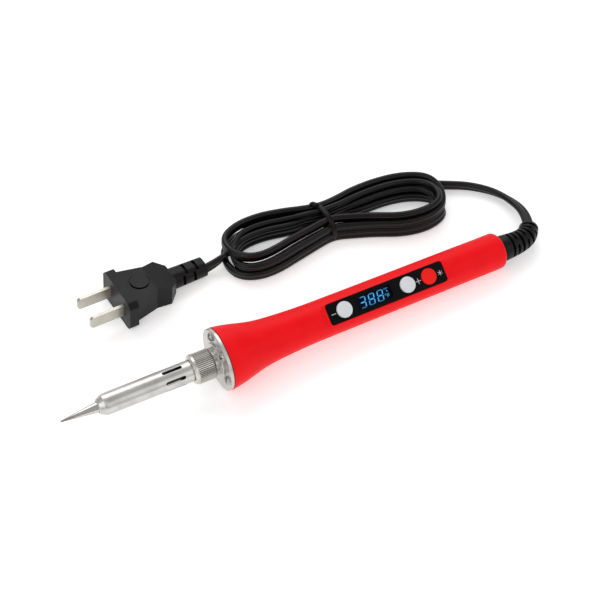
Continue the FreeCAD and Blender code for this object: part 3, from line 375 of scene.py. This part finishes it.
def window_lens():
    """PMMA lens: clear over the cell, printed black on its back round the rim."""
    material, shader = new_material("pmma_lens_black_rim")
    place = node(material, "TexCoord").outputs["Object"]
    low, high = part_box("display_window")
    middle = (low + high) / 2
    spot = node(material, "SeparateXYZ", Vector=place)
    edges = []
    for axis, half in (("X", (high.x - low.x) / 2), ("Y", (high.y - low.y) / 2)):
        centre = getattr(middle, axis.lower())
        offset = node(material, "Math", {"operation": "SUBTRACT"}, i0=spot.outputs[axis], i1=centre)
        size = node(material, "Math", {"operation": "ABSOLUTE"}, i0=offset.outputs["Value"])
        edges.append(node(material, "MapRange", Value=size.outputs["Value"],
                          From_Min=half - LENS_RIM * MM, From_Max=half - (LENS_RIM - LENS_FADE) * MM,
                          To_Min=LENS_HAZE, To_Max=1.0).outputs["Result"])
    cover = node(material, "Math", {"operation": "MAXIMUM"}, i0=edges[0], i1=edges[1])
    plug_in(material, shader.inputs["Alpha"], cover.outputs["Value"])
    haze = node(material, "TexNoise", Vector=place, Scale=scale_for(3.0), Detail=3.0)
    rough = node(material, "MapRange", Value=haze.outputs["Fac"], To_Min=0.10, To_Max=0.20)
    plug_in(material, shader.inputs["Roughness"], rough.outputs["Result"])
    shader.inputs["Base Color"].default_value = rgb("#040405")
    shader.inputs["Specular IOR Level"].default_value = 0.06
    shader.inputs["IOR"].default_value = 1.49
    return material


GLOW_SCALE = (95, 180, 180)      # the glow ends 10.5 mm from the middle, 5.6 mm across the cell


def lcd_cell():
    """The lit cell: deep blue, brighter in the middle, fading to black at its rim."""
    material, shader = new_material("lcd_cell_blue_backlit")
    place = node(material, "TexCoord").outputs["Object"]
    low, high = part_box("lcd_glass")
    middle = (low + high) / 2
    centred = node(material, "Mapping", {"vector_type": "POINT"}, Vector=place,
                   Location=[-c * s for c, s in zip(middle, GLOW_SCALE)],
                   Scale=GLOW_SCALE).outputs["Vector"]
    distance = node(material, "VectorMath", {"operation": "LENGTH"}, i0=centred).outputs["Value"]
    glow = ramp(material, distance, (0.0, "#062C78"), (0.55, "#031440"), (1.0, "#010309"))
    plug_in(material, shader.inputs["Emission Color"], glow)
    shader.inputs["Emission Strength"].default_value = 0.5
    shader.inputs["Base Color"].default_value = rgb("#010206")
    shader.inputs["Roughness"].default_value = 0.5
    shader.inputs["Specular IOR Level"].default_value = 0.05
    return material


def lit_figures():
    """The lit segments: pale cyan light that differs a little from place to place."""
    material, shader = new_material("lcd_segments_cyan")
    place = node(material, "TexCoord").outputs["Object"]
    shade = node(material, "TexNoise", Vector=place, Scale=scale_for(2.5), Detail=2.0)
    plug_in(material, shader.inputs["Emission Color"],
            ramp(material, shade.outputs["Fac"], (0.3, "#2BA0DA"), (0.7, "#55C4EE")))
    shader.inputs["Emission Strength"].default_value = 1.15
    shader.inputs["Base Color"].default_value = rgb("#10406A")
    shader.inputs["Roughness"].default_value = 0.4
    return material


def printed_white():
    """Screen-printed ink on the panel: flat, slightly uneven white."""
    material, shader = new_material("screen_ink_white")
    place = node(material, "TexCoord").outputs["Object"]
    dust = node(material, "TexNoise", Vector=place, Scale=scale_for(0.4), Detail=3.0)
    plug_in(material, shader.inputs["Base Color"],
            ramp(material, dust.outputs["Fac"], (0.35, "#C9CBCF"), (0.6, "#DDDFE3")))
    shader.inputs["Roughness"].default_value = 0.55
    return material


panel_black = panel_film()
lens_clear = window_lens()
lcd_blue = lcd_cell()
figures_cyan = lit_figures()
ink_white = printed_white()
light_guide = moulded("pmma_light_guide_white", "#DCE4EE", "#E6ECF4", 0.3, 0.5, 0.1)

# %% [markdown]
# ## Giving each working part its material
#
# The CAD meshes are loose triangles. Their normals already point outwards, so only a material is set,
# and nothing on the mesh is changed.

# %% Materials for the CAD parts
CAD_FINISHES = {
    "soldering_tip": tip_metal, "tip_barrel": steel_barrel, "retaining_nut": nickel_knurled,
    "threaded_ferrule": nickel_turned, "front_flange": nickel_satin, "flange_screws": zinc_screw,
    "flange_gasket": fibre_black, "heating_element": alumina, "heater_bush": steatite,
    "heater_leads": silicone_wire, "lead_sleeve": glass_sleeve, "handle_shell": nylon_red,
    "display_panel": panel_black, "display_window": lens_clear, "lcd_backlight": light_guide,
    "lcd_glass": lcd_blue, "switch_bodies": abs_black, "circuit_board": solder_mask,
    "triac": epoxy_black, "controller_chip": epoxy_black, "supply_capacitor": sleeve_dark,
    "film_capacitor": film_yellow, "dropper_resistors": lacquer_blue, "rectifier_diodes": epoxy_black,
    "cord_stub": pvc_cord, "mains_leads": pvc_blue, "minus_button": abs_pale, "plus_button": abs_pale,
    "power_button": abs_red, "minus_plunger": abs_black, "plus_plunger": abs_black,
    "power_plunger": abs_black, "plug_body": pvc_plug, "plug_blades": nickel_blade,
    "blade_carrier": abs_black, "strain_relief_boot": pvc_boot, "cord_tie": pvc_boot,
}
for name, finish in CAD_FINISHES.items():
    part = frame["nodes"][name]
    part.data.materials.clear()
    part.data.materials.append(finish)
print("materials set on", len(CAD_FINISHES), "CAD parts")

# %% [markdown]
# ## The flat twin cord
#
# The cord is a flat twin: two round cores side by side in one black sheath, 5.4 mm wide and 3.1 mm
# thick, with a groove between the cores on each side. It leaves the boot, bends down onto the floor,
# runs round behind the iron into the hank, and comes out of the hank's left end to the plug.
#
# The centreline is one NURBS curve through listed control points. The hank is wound in passes: a far
# pass runs from the right end to the left, a near pass runs back. Every pass follows the same outline,
# moved inwards by its own inset and lifted to its own layer, and squeezes through its own slot in the
# tie. That way the turns lie beside and on each other, as real turns do.

# %% Sizes and route of the cord
CORD_WIDTH = 5.4
CORD_THICK = 3.1
SHIFT = -47.485        # from the point below the handle's front rim to the middle of the iron

BOOT_ROUTE = [(144.0, -0.1, 8.45), (151.0, -0.3, 8.1), (157.5, 0.3, 7.85), (162.2, 2.3, 7.6),
              (165.0, 6.0, 7.4)]
LEAD_ROUTE = [(168.6, 13.0, 6.6), (170.4, 24.0, 3.9), (166.6, 36.0, 2.9), (157.6, 45.6, 2.8),
              (148.0, 51.2, 2.8), (138.0, 57.0, 2.8)]
TAIL_ROUTE = [(36.4, 61.6, 7.2), (31.0, 58.8, 6.4), (25.8, 58.0, 5.0), (22.0, 57.7, 4.3)]
RELIEF_END = (19.1, 57.3, 4.1)
TIE_X = 83.0
TIE_REACH = 9.5              # the turns run straight for this far on each side of the tie
FAR_SPREAD = (0.4, 2.3)      # how far a far pass has moved outwards there, right and left of the tie
NEAR_SPREAD = (3.8, 1.6)     # and a near pass

# outline of the hank: x, y and the direction that points into the bundle
FAR_RIGHT = [(138.6, 54.8, -0.80, -0.60), (127.4, 61.2, -0.35, -0.94), (114.0, 63.7, 0, -1),
             (101.0, 63.8, 0, -1)]
FAR_LEFT = [(66.0, 66.8, 0, -1), (54.0, 69.8, 0, -1), (41.6, 69.6, 0.30, -0.95),
            (32.6, 65.0, 0.80, -0.60)]
LEFT_END = (29.6, 56.8, 1, 0)
NEAR_LEFT = [(31.8, 47.8, 0.80, 0.60), (39.8, 43.0, 0.40, 0.90), (50.0, 42.4, 0, 1),
             (62.0, 44.8, 0, 1)]
NEAR_RIGHT = [(101.4, 41.2, 0.2, 0.97), (114.0, 34.5, 0, 1), (127.0, 32.4, -0.1, 1),
              (138.0, 36.2, -0.80, 0.60)]
RIGHT_END = (141.6, 45.4, -1, 0)

# each turn: far pass, then near pass, as inset and height right of the tie, place and height in the
# tie, and inset and height left of it (a near pass runs the other way)
FAR_PASSES = [((1.2, 2.8), (61.6, 3.6), (0.4, 2.8)), ((7.6, 3.0), (57.8, 2.8), (6.2, 3.0)),
              ((5.6, 6.2), (58.2, 6.3), (6.6, 6.4)), ((0.0, 10.2), (62.2, 9.7), (0.0, 10.3)),
              ((3.4, 8.8), (58.8, 9.9), (3.4, 8.0))]
NEAR_PASSES = [((0.0, 2.8), (48.7, 2.8), (0.0, 2.8)), ((4.0, 4.4), (52.6, 2.9), (3.4, 5.4)),
               ((1.4, 7.0), (49.9, 6.9), (1.3, 6.9)), ((5.0, 10.3), (53.0, 9.9), (3.4, 10.2))]


def moved_in(points, start, end):
    """The outline's points at an inset and height that change evenly from start to end."""
    made = []
    for i, (x, y, in_x, in_y) in enumerate(points):
        share = i / max(1, len(points) - 1)
        inset = start[0] + (end[0] - start[0]) * share
        height = start[1] + (end[1] - start[1]) * share
        made.append((x + in_x * inset, y + in_y * inset, height))
    return made


def between(a, b):
    """The point halfway between two."""
    return tuple((p + q) / 2 for p, q in zip(a, b))


def hank_route():
    """Control points of the hank: five far passes joined by four near ones."""
    route = []
    for i, (right, (tie_y, tie_z), left) in enumerate(FAR_PASSES):
        route += moved_in(FAR_RIGHT if i else FAR_RIGHT[1:], right, right)
        route += [(TIE_X + TIE_REACH, tie_y + FAR_SPREAD[0], (right[1] + tie_z) / 2),
                  (TIE_X, tie_y, tie_z),
                  (TIE_X - TIE_REACH, tie_y + FAR_SPREAD[1], (left[1] + tie_z) / 2)]
        if i == len(NEAR_PASSES):
            return route + moved_in(FAR_LEFT[:3], left, left)
        route += moved_in(FAR_LEFT, left, left)
        near_left, (near_y, near_z), near_right = NEAR_PASSES[i]
        route += moved_in([LEFT_END], between(left, near_left), left)
        route += moved_in(NEAR_LEFT, near_left, near_left)
        route += [(TIE_X - TIE_REACH, near_y - NEAR_SPREAD[1], (near_left[1] + near_z) / 2),
                  (TIE_X, near_y, near_z),
                  (TIE_X + TIE_REACH, near_y - NEAR_SPREAD[0], (near_right[1] + near_z) / 2)]
        route += moved_in(NEAR_RIGHT, near_right, near_right)
        route += moved_in([RIGHT_END], between(near_right, FAR_PASSES[i + 1][0]), near_right)


def placed(points):
    """Points of a route, in metres and in the scene's own place."""
    return [Vector((x + SHIFT, y, z)) * MM for x, y, z in points]


hank = hank_route()
cord_route = placed([BOOT_ROUTE[-1]] + LEAD_ROUTE + hank + TAIL_ROUTE + [RELIEF_END])
print("cord route has", len(cord_route), "control points")

# %% [markdown]
# ## Sweeping the twin profile
#
# A curve object can sweep a profile along itself. The profile is a small closed curve: two round lobes
# joined by a web. Each control point also has a tilt. Next to the boot the cord lies flat; in the bend
# it turns onto its edge, and in the hank each turn leans by its own small angle. The plain curve is
# read once, before the profile is added, as the list of points that the finished mesh follows.


# %% Cord
LOBE_STEPS = 5                     # points on each half of a lobe
LOBE_STEP = math.radians(24.5)
WEB_HALF = 1.02                    # half thickness of the web
ON_EDGE = math.radians(90)
LEAN = math.radians(14)            # the most that a turn leans in the hank
LEAN_RATE = 0.23                   # swing of the lean for each control point, in radians
TILTS_TO_HANK = (15, 20, 35, 60, 75, 82, 85)
TILTS_TO_PLUG = (35, 50, 75, 85, 85)


def nurbs(name, points, tilts=None, closed=False, resolution=8):
    """A NURBS curve object of order 3 through these control points."""
    data = bpy.data.curves.new(name, "CURVE")
    data.dimensions = "3D"
    data.twist_mode = "Z_UP"
    data.resolution_u = resolution
    spline = data.splines.new("NURBS")
    spline.points.add(len(points) - 1)
    for i, (handle, point) in enumerate(zip(spline.points, points)):
        handle.co = (*point, 1)
        handle.tilt = tilts[i] if tilts else 0.0
    spline.order_u = 3
    spline.use_endpoint_u = not closed
    spline.use_cyclic_u = closed
    made = bpy.data.objects.new(name, data)
    bpy.context.scene.collection.objects.link(made)
    return made


def centreline(curve):
    """The points that the curve runs through."""
    view = bpy.context.evaluated_depsgraph_get()
    line = bpy.data.meshes.new_from_object(curve.evaluated_get(view))
    points = [v.co.copy() for v in line.vertices]
    bpy.data.meshes.remove(line)
    return points


def swept(name, curve, profile):
    """Sweep the profile along the curve, keep the result as a mesh piece, and drop both curves."""
    curve.data.bevel_mode = "OBJECT"
    curve.data.bevel_object = profile
    curve.data.use_fill_caps = True
    view = bpy.context.evaluated_depsgraph_get()
    mesh = bpy.data.meshes.new_from_object(curve.evaluated_get(view))
    mesh.name = name
    bpy.data.objects.remove(curve)
    bpy.data.objects.remove(profile)
    return piece_from_mesh(name, mesh)


def piece_from_mesh(name, mesh, smooth=True):
    """Merge doubles, point the faces outwards and link the mesh as an object at the origin."""
    work = bmesh.new()
    work.from_mesh(mesh)
    bmesh.ops.remove_doubles(work, verts=work.verts, dist=1e-6)
    bmesh.ops.recalc_face_normals(work, faces=work.faces)
    for face in work.faces:
        face.smooth = smooth
    work.to_mesh(mesh)
    work.free()
    piece = bpy.data.objects.new(name, mesh)
    bpy.context.scene.collection.objects.link(piece)
    return piece


def twin_profile():
    """Outline of the flat twin sheath: a lobe round each core and a web between them."""
    core = CORD_THICK / 2
    reach = CORD_WIDTH / 2 - core
    outline = []
    for side in (1, -1):
        for step in range(-LOBE_STEPS, LOBE_STEPS + 1):
            angle = LOBE_STEP * step
            outline.append((side * (reach + core * math.cos(angle)), side * core * math.sin(angle)))
        outline.append((0.0, side * WEB_HALF))
    data = bpy.data.curves.new("twin_profile", "CURVE")
    data.dimensions = "2D"
    spline = data.splines.new("POLY")
    spline.points.add(len(outline) - 1)
    for handle, (u, v) in zip(spline.points, outline):
        handle.co = (u * MM, v * MM, 0, 1)
    spline.use_cyclic_u = True
    made = bpy.data.objects.new("twin_profile", data)
    bpy.context.scene.collection.objects.link(made)
    return made


tilts = [math.radians(a) for a in TILTS_TO_HANK]
for i in range(len(hank)):
    tilts.append(ON_EDGE + LEAN * math.sin(LEAN_RATE * i))
tilts += [math.radians(a) for a in TILTS_TO_PLUG]
cord_curve = nurbs("mains_cord", cord_route, tilts)
cord_path = centreline(cord_curve)
mains_cord = swept("mains_cord", cord_curve, twin_profile())
mains_cord.data.materials.append(pvc_cord)
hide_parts("cord_lead", "cord_hank", "cord_tail")
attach(mains_cord, "handle")

# %% [markdown]
# ## The ribbed boot
#
# The boot is moulded PVC that lets the cord bend gently where it leaves the handle. It starts with a
# plain collar and then has seven slotted rings. Each slot stops short at two bridges, and the bridges
# of neighbouring rings sit a quarter turn apart, so the boot can bend every way.
#
# It is easiest to model straight: a circle is extruded along X, ring by ring, and the rings inside a
# slot are drawn in except at the bridges. Then every vertex is carried onto the bent route, which is
# read from a NURBS curve in the same way as the cord's.

# %% Boot
BOOT_RADIUS = 6.3
BOOT_END_RADIUS = 4.5
BOOT_SIDES = 64
COLLAR = 4.6
SLOT_PITCH = 2.62
SLOT = 1.15
SLOT_DEPTH = 1.75
SLOT_EDGE = 0.14
RING_COUNT = 7
BRIDGE_TURN = 0.55         # angle of the first ring's bridges, in radians
BRIDGE_HALF = 0.30         # half width of a bridge, as the sine of its angle
SOFT_EDGE = 0.25           # rounding of the two ends
END_CHAMFER = 0.9

boot_curve = nurbs("boot_route", placed(BOOT_ROUTE), resolution=24)
boot_path = centreline(boot_curve)
bpy.data.objects.remove(boot_curve)
boot_steps = [0.0]
for a, b in zip(boot_path, boot_path[1:]):
    boot_steps.append(boot_steps[-1] + (b - a).length / MM)
BOOT_LENGTH = boot_steps[-1]


def on_boot_route(distance):
    """Point and direction on the boot's route at a distance in mm from the handle."""
    distance = min(max(distance, 0.0), BOOT_LENGTH)
    i = max(k for k in range(len(boot_steps) - 1) if boot_steps[k] <= distance)
    share = (distance - boot_steps[i]) / (boot_steps[i + 1] - boot_steps[i])
    before = (boot_path[max(i - 1, 0)] - boot_path[min(i + 1, len(boot_path) - 1)]).normalized()
    after = (boot_path[i] - boot_path[min(i + 2, len(boot_path) - 1)]).normalized()
    return boot_path[i].lerp(boot_path[i + 1], share), -before.lerp(after, share).normalized()


def boot_piece():
    """The boot: rings along a straight axis, then carried onto the bent route."""
    stations = [(0.0, False), (0.4, False), (COLLAR - 0.4, False)]
    for ring in range(RING_COUNT):
        start = COLLAR + ring * SLOT_PITCH
        stations += [(start, False), (start + SLOT_EDGE, True), (start + SLOT - SLOT_EDGE, True),
                     (start + SLOT, False), (start + (SLOT + SLOT_PITCH) / 2, False)]
    stations = [s for s in stations if s[0] < BOOT_LENGTH - 0.9]
    stations += [(BOOT_LENGTH - 0.8, False), (BOOT_LENGTH - 0.2, False), (BOOT_LENGTH, False)]
    work = bmesh.new()
    made = bmesh.ops.create_circle(work, segments=BOOT_SIDES, radius=1.0)
    bmesh.ops.rotate(work, verts=made["verts"], matrix=Matrix.Rotation(math.pi / 2, 3, "Y"))
    ring_edges = list(work.edges)
    rings = [made["verts"]]
    for _ in stations[1:]:
        grown = bmesh.ops.extrude_edge_only(work, edges=ring_edges)["geom"]
        rings.append([g for g in grown if isinstance(g, bmesh.types.BMVert)])
        ring_edges = [g for g in grown if isinstance(g, bmesh.types.BMEdge)
                      and all(v in rings[-1] for v in g.verts)]
    for number, ((distance, sunk), verts) in enumerate(zip(stations, rings)):
        share = distance / BOOT_LENGTH
        radius = BOOT_RADIUS + (BOOT_END_RADIUS - BOOT_RADIUS) * share
        if number in (0, len(rings) - 2):
            radius -= SOFT_EDGE
        elif number == len(rings) - 1:
            radius -= END_CHAMFER
        slot_number = int((distance - COLLAR) / SLOT_PITCH) if distance >= COLLAR else 0
        centre, along = on_boot_route(distance)
        side = along.cross(Vector((0, 0, 1))).normalized()
        up = side.cross(along)
        for v in verts:
            angle = math.atan2(v.co.z, v.co.y)
            bridge = abs(math.sin(angle + slot_number * math.pi / 2 + BRIDGE_TURN)) < BRIDGE_HALF
            reach = radius - (SLOT_DEPTH if sunk and not bridge else 0.0)
            v.co = centre + (side * math.cos(angle) + up * math.sin(angle)) * reach * MM
    for end in (rings[0], rings[-1]):
        bmesh.ops.contextual_create(work, geom=[e for e in work.edges
                                                if e.verts[0] in end and e.verts[1] in end])
    mesh = bpy.data.meshes.new("ribbed_boot")
    work.to_mesh(mesh)
    work.free()
    return piece_from_mesh("ribbed_boot", mesh)


def sharpen(piece, degrees=35):
    """Shade smooth, but keep a crisp line where two faces meet at more than this angle."""
    limit = math.radians(degrees)
    work = bmesh.new()
    work.from_mesh(piece.data)
    for edge in work.edges:
        edge.smooth = len(edge.link_faces) == 2 and edge.calc_face_angle(0.0) < limit
    work.to_mesh(piece.data)
    work.free()


ribbed_boot = boot_piece()
sharpen(ribbed_boot)
ribbed_boot.data.materials.append(pvc_boot)
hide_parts("strain_relief_boot")
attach(ribbed_boot, "handle")
print("boot is %.1f mm long" % BOOT_LENGTH)

# %% [markdown]
# ## The wire tie
#
# The hank is held by a wire tie: a soft steel wire in a black plastic strip, passed round the bundle
# and twisted at the far upper edge. The strip is a closed curve that sweeps a flat oval. The twist is
# a short helix of two strands, made as one curve that goes out and comes back.


# %% Tie
TIE_SECTION = (2.6, 1.3)         # width and thickness of the strip
TWIST_SECTION = (1.9, 1.5)
TWIST_TURN = math.radians(60)    # turn of the twist from one control point to the next
TWIST_STEP = 0.30                # and its step outwards
TWIST_COUNT = 9                  # control points on the way out, and as many on the way back
TWIST_RADIUS = 0.8
OVAL_SIDES = 16


def oval_profile(width, thick):
    """An oval as a closed curve, to sweep along another."""
    data = bpy.data.curves.new("oval_profile", "CURVE")
    data.dimensions = "2D"
    spline = data.splines.new("POLY")
    spline.points.add(OVAL_SIDES - 1)
    for i, handle in enumerate(spline.points):
        angle = math.tau * i / OVAL_SIDES
        handle.co = (width / 2 * MM * math.cos(angle), thick / 2 * MM * math.sin(angle), 0, 1)
    spline.use_cyclic_u = True
    made = bpy.data.objects.new("oval_profile", data)
    bpy.context.scene.collection.objects.link(made)
    return made


def tie_strip():
    """The strip round the bundle, a little slanted, and the twist at its far upper edge."""
    low, high, near, far = 0.55, 13.2, 46.7, 63.2
    loop = [(0.6, far - 2.5, low), (0.3, near + 4, low), (0, near + 0.4, low + 1.2),
            (-0.2, near - 0.2, low + 5), (-0.4, near + 1.2, high - 3.4), (-0.8, near + 4.2, high - 0.4),
            (-1.2, far - 6.0, high), (-1.6, far - 1.6, high - 0.5), (-1.2, far, high - 3.6),
            (-0.2, far + 0.1, low + 4)]
    curve = nurbs("cord_tie", placed([(TIE_X + x, y, z) for x, y, z in loop]),
                  tilts=[0.0] * len(loop), closed=True, resolution=10)
    curve.data.twist_mode = "MINIMUM"
    strip = swept("wire_tie", curve, oval_profile(*TIE_SECTION))
    knot = []
    for i in range(2 * TWIST_COUNT + 1):
        turn = TWIST_TURN * i
        out = TWIST_STEP * min(i, 2 * TWIST_COUNT - i)
        knot.append((TIE_X - 2.4 - 0.6 * out + TWIST_RADIUS * math.cos(turn),
                     far - 2.2 + 0.7 * out, high - 0.2 + TWIST_RADIUS * math.sin(turn)))
    twist = swept("tie_twist", nurbs("tie_twist", placed(knot), resolution=6),
                  oval_profile(*TWIST_SECTION))
    return strip, twist


wire_tie, tie_twist = tie_strip()
for piece in (wire_tie, tie_twist):
    piece.data.materials.append(pvc_boot)
    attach(piece, "handle")
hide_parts("cord_tie")

# %% [markdown]
# ## Figures and marks on the panel
#
# The display's figures, the bezel round them and the printed marks are drawn flat, in the handle's own
# frame: x runs from the front rim to the cord, y across the panel and z out of it. One matrix, made
# from the iron's axes, carries them into place.

# %% The handle's own frame
IRON = Matrix((x_axis, y_axis, z_axis)).transposed().to_4x4()
IRON.translation = rim
PANEL_FACE = 7.4       # heights above the iron's axis
CELL_TOP = 4.9
LENS_BACK = 6.5


def bar(work, x, y, length, width, angle, z, thick, slant=0.0):
    """A flat bar with pointed ends, centred at x, y and turned by an angle in degrees."""
    half, wide = length / 2, width / 2
    corners = [(-half, 0), (-half + wide, -wide), (half - wide, -wide), (half, 0), (half - wide, wide),
               (-half + wide, wide)]
    turn = Matrix.Rotation(math.radians(angle), 2)
    verts = []
    for corner in corners:
        u, v = turn @ Vector(corner)
        verts.append(work.verts.new((x + u + slant * (y + v), y + v, z)))
    face = work.faces.new(verts)
    grown = bmesh.ops.extrude_face_region(work, geom=[face])["geom"]
    bmesh.ops.translate(work, verts=[g for g in grown if isinstance(g, bmesh.types.BMVert)],
                        vec=(0, 0, thick))


def in_handle_frame(name, work, finish):
    """Finish a piece that was drawn in the handle's frame, in mm."""
    bmesh.ops.transform(work, matrix=IRON @ Matrix.Scale(MM, 4), verts=work.verts)
    mesh = bpy.data.meshes.new(name)
    work.to_mesh(mesh)
    work.free()
    piece = piece_from_mesh(name, mesh, smooth=False)
    piece.data.materials.append(finish)
    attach(piece, "handle")
    return piece


# %% [markdown]
# ## Figures
#
# The digits have seven segments and slant by about ten degrees. Each segment is a flat bar with
# pointed ends, 0.03 mm thick, and lies on the cell just under the window. The unit signs are drawn
# with smaller bars of the same kind.

# %% Figures
SEGMENTS = {"3": "abcdg", "8": "abcdefg"}
SEGMENT_GAP = 0.34
SEGMENT_THICK = 0.03
SLANT = 0.17                 # shift along x for each mm of height
DIGITS_AT, DIGIT_PITCH = 69.2, 4.5
DIGIT_HEIGHT, DIGIT_WIDTH, DIGIT_STROKE = 5.0, 2.6, 0.52
SIGNS_AT, SIGN_SHIFT = 82.0, 0.2
SIGN_HALF_WIDTH, SIGN_HALF_HEIGHT, SIGN_STROKE = 0.48, 0.75, 0.22
DEGREE_RADIUS, DEGREE_SIDE, DEGREE_STROKE = 0.36, 0.36, 0.13


def segment_bar(work, x, y, length, stroke, angle):
    """A lit bar on top of the cell."""
    bar(work, x, y, length, stroke, angle, CELL_TOP, SEGMENT_THICK, SLANT)


def figure(work, character, x):
    """One seven-segment digit with its middle at x."""
    half, rise = DIGIT_WIDTH / 2, DIGIT_HEIGHT / 4
    places = {"a": (0, 2 * rise, 0), "g": (0, 0, 0), "d": (0, -2 * rise, 0),
              "b": (half, rise, 90), "c": (half, -rise, 90), "f": (-half, rise, 90),
              "e": (-half, -rise, 90)}
    for name in SEGMENTS[character]:
        u, v, angle = places[name]
        length = (DIGIT_WIDTH if angle == 0 else 2 * rise) - SEGMENT_GAP
        segment_bar(work, x + u, v, length, DIGIT_STROKE, angle)


def unit_sign(work, x, y, segments):
    """A degree ring, and beside it a small letter made of the named segments."""
    for ring_angle in range(0, 360, 60):
        a = math.radians(ring_angle)
        segment_bar(work, x - 1.35 + DEGREE_RADIUS * math.cos(a),
                    y + 0.75 + DEGREE_RADIUS * math.sin(a), DEGREE_SIDE, DEGREE_STROKE,
                    ring_angle + 90)
    places = {"a": (0, SIGN_HALF_HEIGHT, 0), "g": (0, 0, 0), "d": (0, -SIGN_HALF_HEIGHT, 0),
              "f": (-SIGN_HALF_WIDTH, 0.38, 90), "e": (-SIGN_HALF_WIDTH, -0.38, 90)}
    for name in segments:
        u, v, angle = places[name]
        segment_bar(work, x + u, y + v, 0.9 if angle == 0 else 0.7, SIGN_STROKE, angle)


digits = bmesh.new()
for i, character in enumerate("388"):
    figure(digits, character, DIGITS_AT + DIGIT_PITCH * i)
unit_sign(digits, SIGNS_AT, 1.55, "afed")                    # a ring and a C
unit_sign(digits, SIGNS_AT + SIGN_SHIFT, -1.15, "afge")      # a ring and an F
in_handle_frame("lcd_figures", digits, figures_cyan)

# %% [markdown]
# ## Bezel
#
# A thin black frame lines the opening in the handle between the cell and the lens, so that the red
# wall of the opening does not show through the window.

# %% Bezel
BEZEL_FRONT, BEZEL_REAR = 65.55, 83.45
BEZEL_HALF = 3.35
BEZEL_WALL = 0.25


def box_in(work, low, high):
    """A plain box between two corners."""
    made = bmesh.ops.create_cube(work, size=1.0)["verts"]
    for vert in made:
        vert.co = Vector(lo + (hi - lo) * (c + 0.5) for lo, hi, c in zip(low, high, vert.co))


bezel = bmesh.new()
for x0, x1, y0, y1 in ((BEZEL_FRONT, BEZEL_FRONT + BEZEL_WALL, -BEZEL_HALF, BEZEL_HALF),
                       (BEZEL_REAR - BEZEL_WALL, BEZEL_REAR, -BEZEL_HALF, BEZEL_HALF),
                       (BEZEL_FRONT, BEZEL_REAR, -BEZEL_HALF, BEZEL_WALL - BEZEL_HALF),
                       (BEZEL_FRONT, BEZEL_REAR, BEZEL_HALF - BEZEL_WALL, BEZEL_HALF)):
    box_in(bezel, (x0, y0, CELL_TOP), (x1, y1, LENS_BACK))
in_handle_frame("lcd_bezel", bezel, abs_black)

# %% [markdown]
# ## Printed marks
#
# A minus, a plus and a star are printed beside their buttons. Each stroke of a mark is a bar. Strokes
# that cross lie a very little above each other, so that no two faces share a place.

# %% Printed marks
INK_THICK = 0.02
INK_LIFT = 0.0005            # for each quarter turn of a stroke
# middle along the panel, length and width of the strokes, and their angles
MARKS = ((53.3, 2.4, 0.24, (0,)), (96.9, 2.8, 0.22, (0, 90)), (108.4, 2.6, 0.17, (30, 90, 150)))
MARKS_AT = -0.3              # across the panel

marks = bmesh.new()
for x, length, width, angles in MARKS:
    for angle in angles:
        bar(marks, x, MARKS_AT, length, width, angle, PANEL_FACE + INK_LIFT * angle / 90, INK_THICK)
in_handle_frame("panel_marks", marks, ink_white)

# %% [markdown]
# ## Floor and light
#
# The floor is a large pale sheet that also gives off a little light, as paper lit from below does, so
# shadows stay short and faint. Soft light from a big area lamp above and behind gives the cord and the
# plug their highlights, a second one from the front left fills the side that faces the camera, a third
# from the front right is weaker, and the world adds an even white. The world is white to the camera
# and half as bright for all other rays, which keeps black plastic black.

# %% Floor and lights
PAPER_GLOW = 0.35
WORLD_SEEN, WORLD_LIGHT = 1.0, 0.50

floor_data = bmesh.new()
bmesh.ops.create_grid(floor_data, x_segments=1, y_segments=1, size=3.0)
floor_mesh = bpy.data.meshes.new("floor")
floor_data.to_mesh(floor_mesh)
floor_data.free()
floor = bpy.data.objects.new("floor", floor_mesh)
bpy.context.scene.collection.objects.link(floor)
floor.location.z = -0.0002
paper, paper_shader = new_material("studio_paper_white")
paper_place = node(paper, "TexCoord").outputs["Object"]
paper_fibre = node(paper, "TexNoise", Vector=paper_place, Scale=scale_for(40.0), Detail=2.0)
plug_in(paper, paper_shader.inputs["Base Color"],
        ramp(paper, paper_fibre.outputs["Fac"], (0.3, "#F3F3F3"), (0.7, "#F5F5F5")))
paper_shader.inputs["Roughness"].default_value = 0.9
paper_shader.inputs["Specular IOR Level"].default_value = 0.0
paper_shader.inputs["Emission Color"].default_value = rgb("#FFFFFF")
paper_shader.inputs["Emission Strength"].default_value = PAPER_GLOW
floor.data.materials.append(paper)


def area_light(name, at, size, power, aim=(0.0, 0.02, 0.0)):
    """A rectangular lamp that faces the middle of the part."""
    data = bpy.data.lights.new(name, "AREA")
    data.shape = "RECTANGLE"
    data.size, data.size_y = size
    data.energy = power
    lamp = bpy.data.objects.new(name, data)
    bpy.context.scene.collection.objects.link(lamp)
    lamp.location = at
    lamp.rotation_euler = (Vector(aim) - Vector(at)).to_track_quat("-Z", "Y").to_euler()


area_light("softbox_back", (0.15, 0.75, 0.85), (1.2, 0.8), 6.0)
area_light("softbox_left", (-0.75, -0.35, 0.75), (0.9, 0.9), 3.2)
area_light("softbox_front", (0.45, -0.75, 0.6), (0.9, 0.7), 1.6)
world = bpy.data.worlds.new("studio")
world.use_nodes = True
backdrop = world.node_tree.nodes["Background"]
backdrop.inputs["Color"].default_value = (1, 1, 1, 1)
ray = world.node_tree.nodes.new("ShaderNodeLightPath")
level = world.node_tree.nodes.new("ShaderNodeMapRange")
level.inputs["To Min"].default_value = WORLD_LIGHT
level.inputs["To Max"].default_value = WORLD_SEEN
world.node_tree.links.new(ray.outputs["Is Camera Ray"], level.inputs["Value"])
world.node_tree.links.new(level.outputs["Result"], backdrop.inputs["Strength"])
bpy.context.scene.world = world
bpy.context.scene.view_settings.view_transform = "Standard"
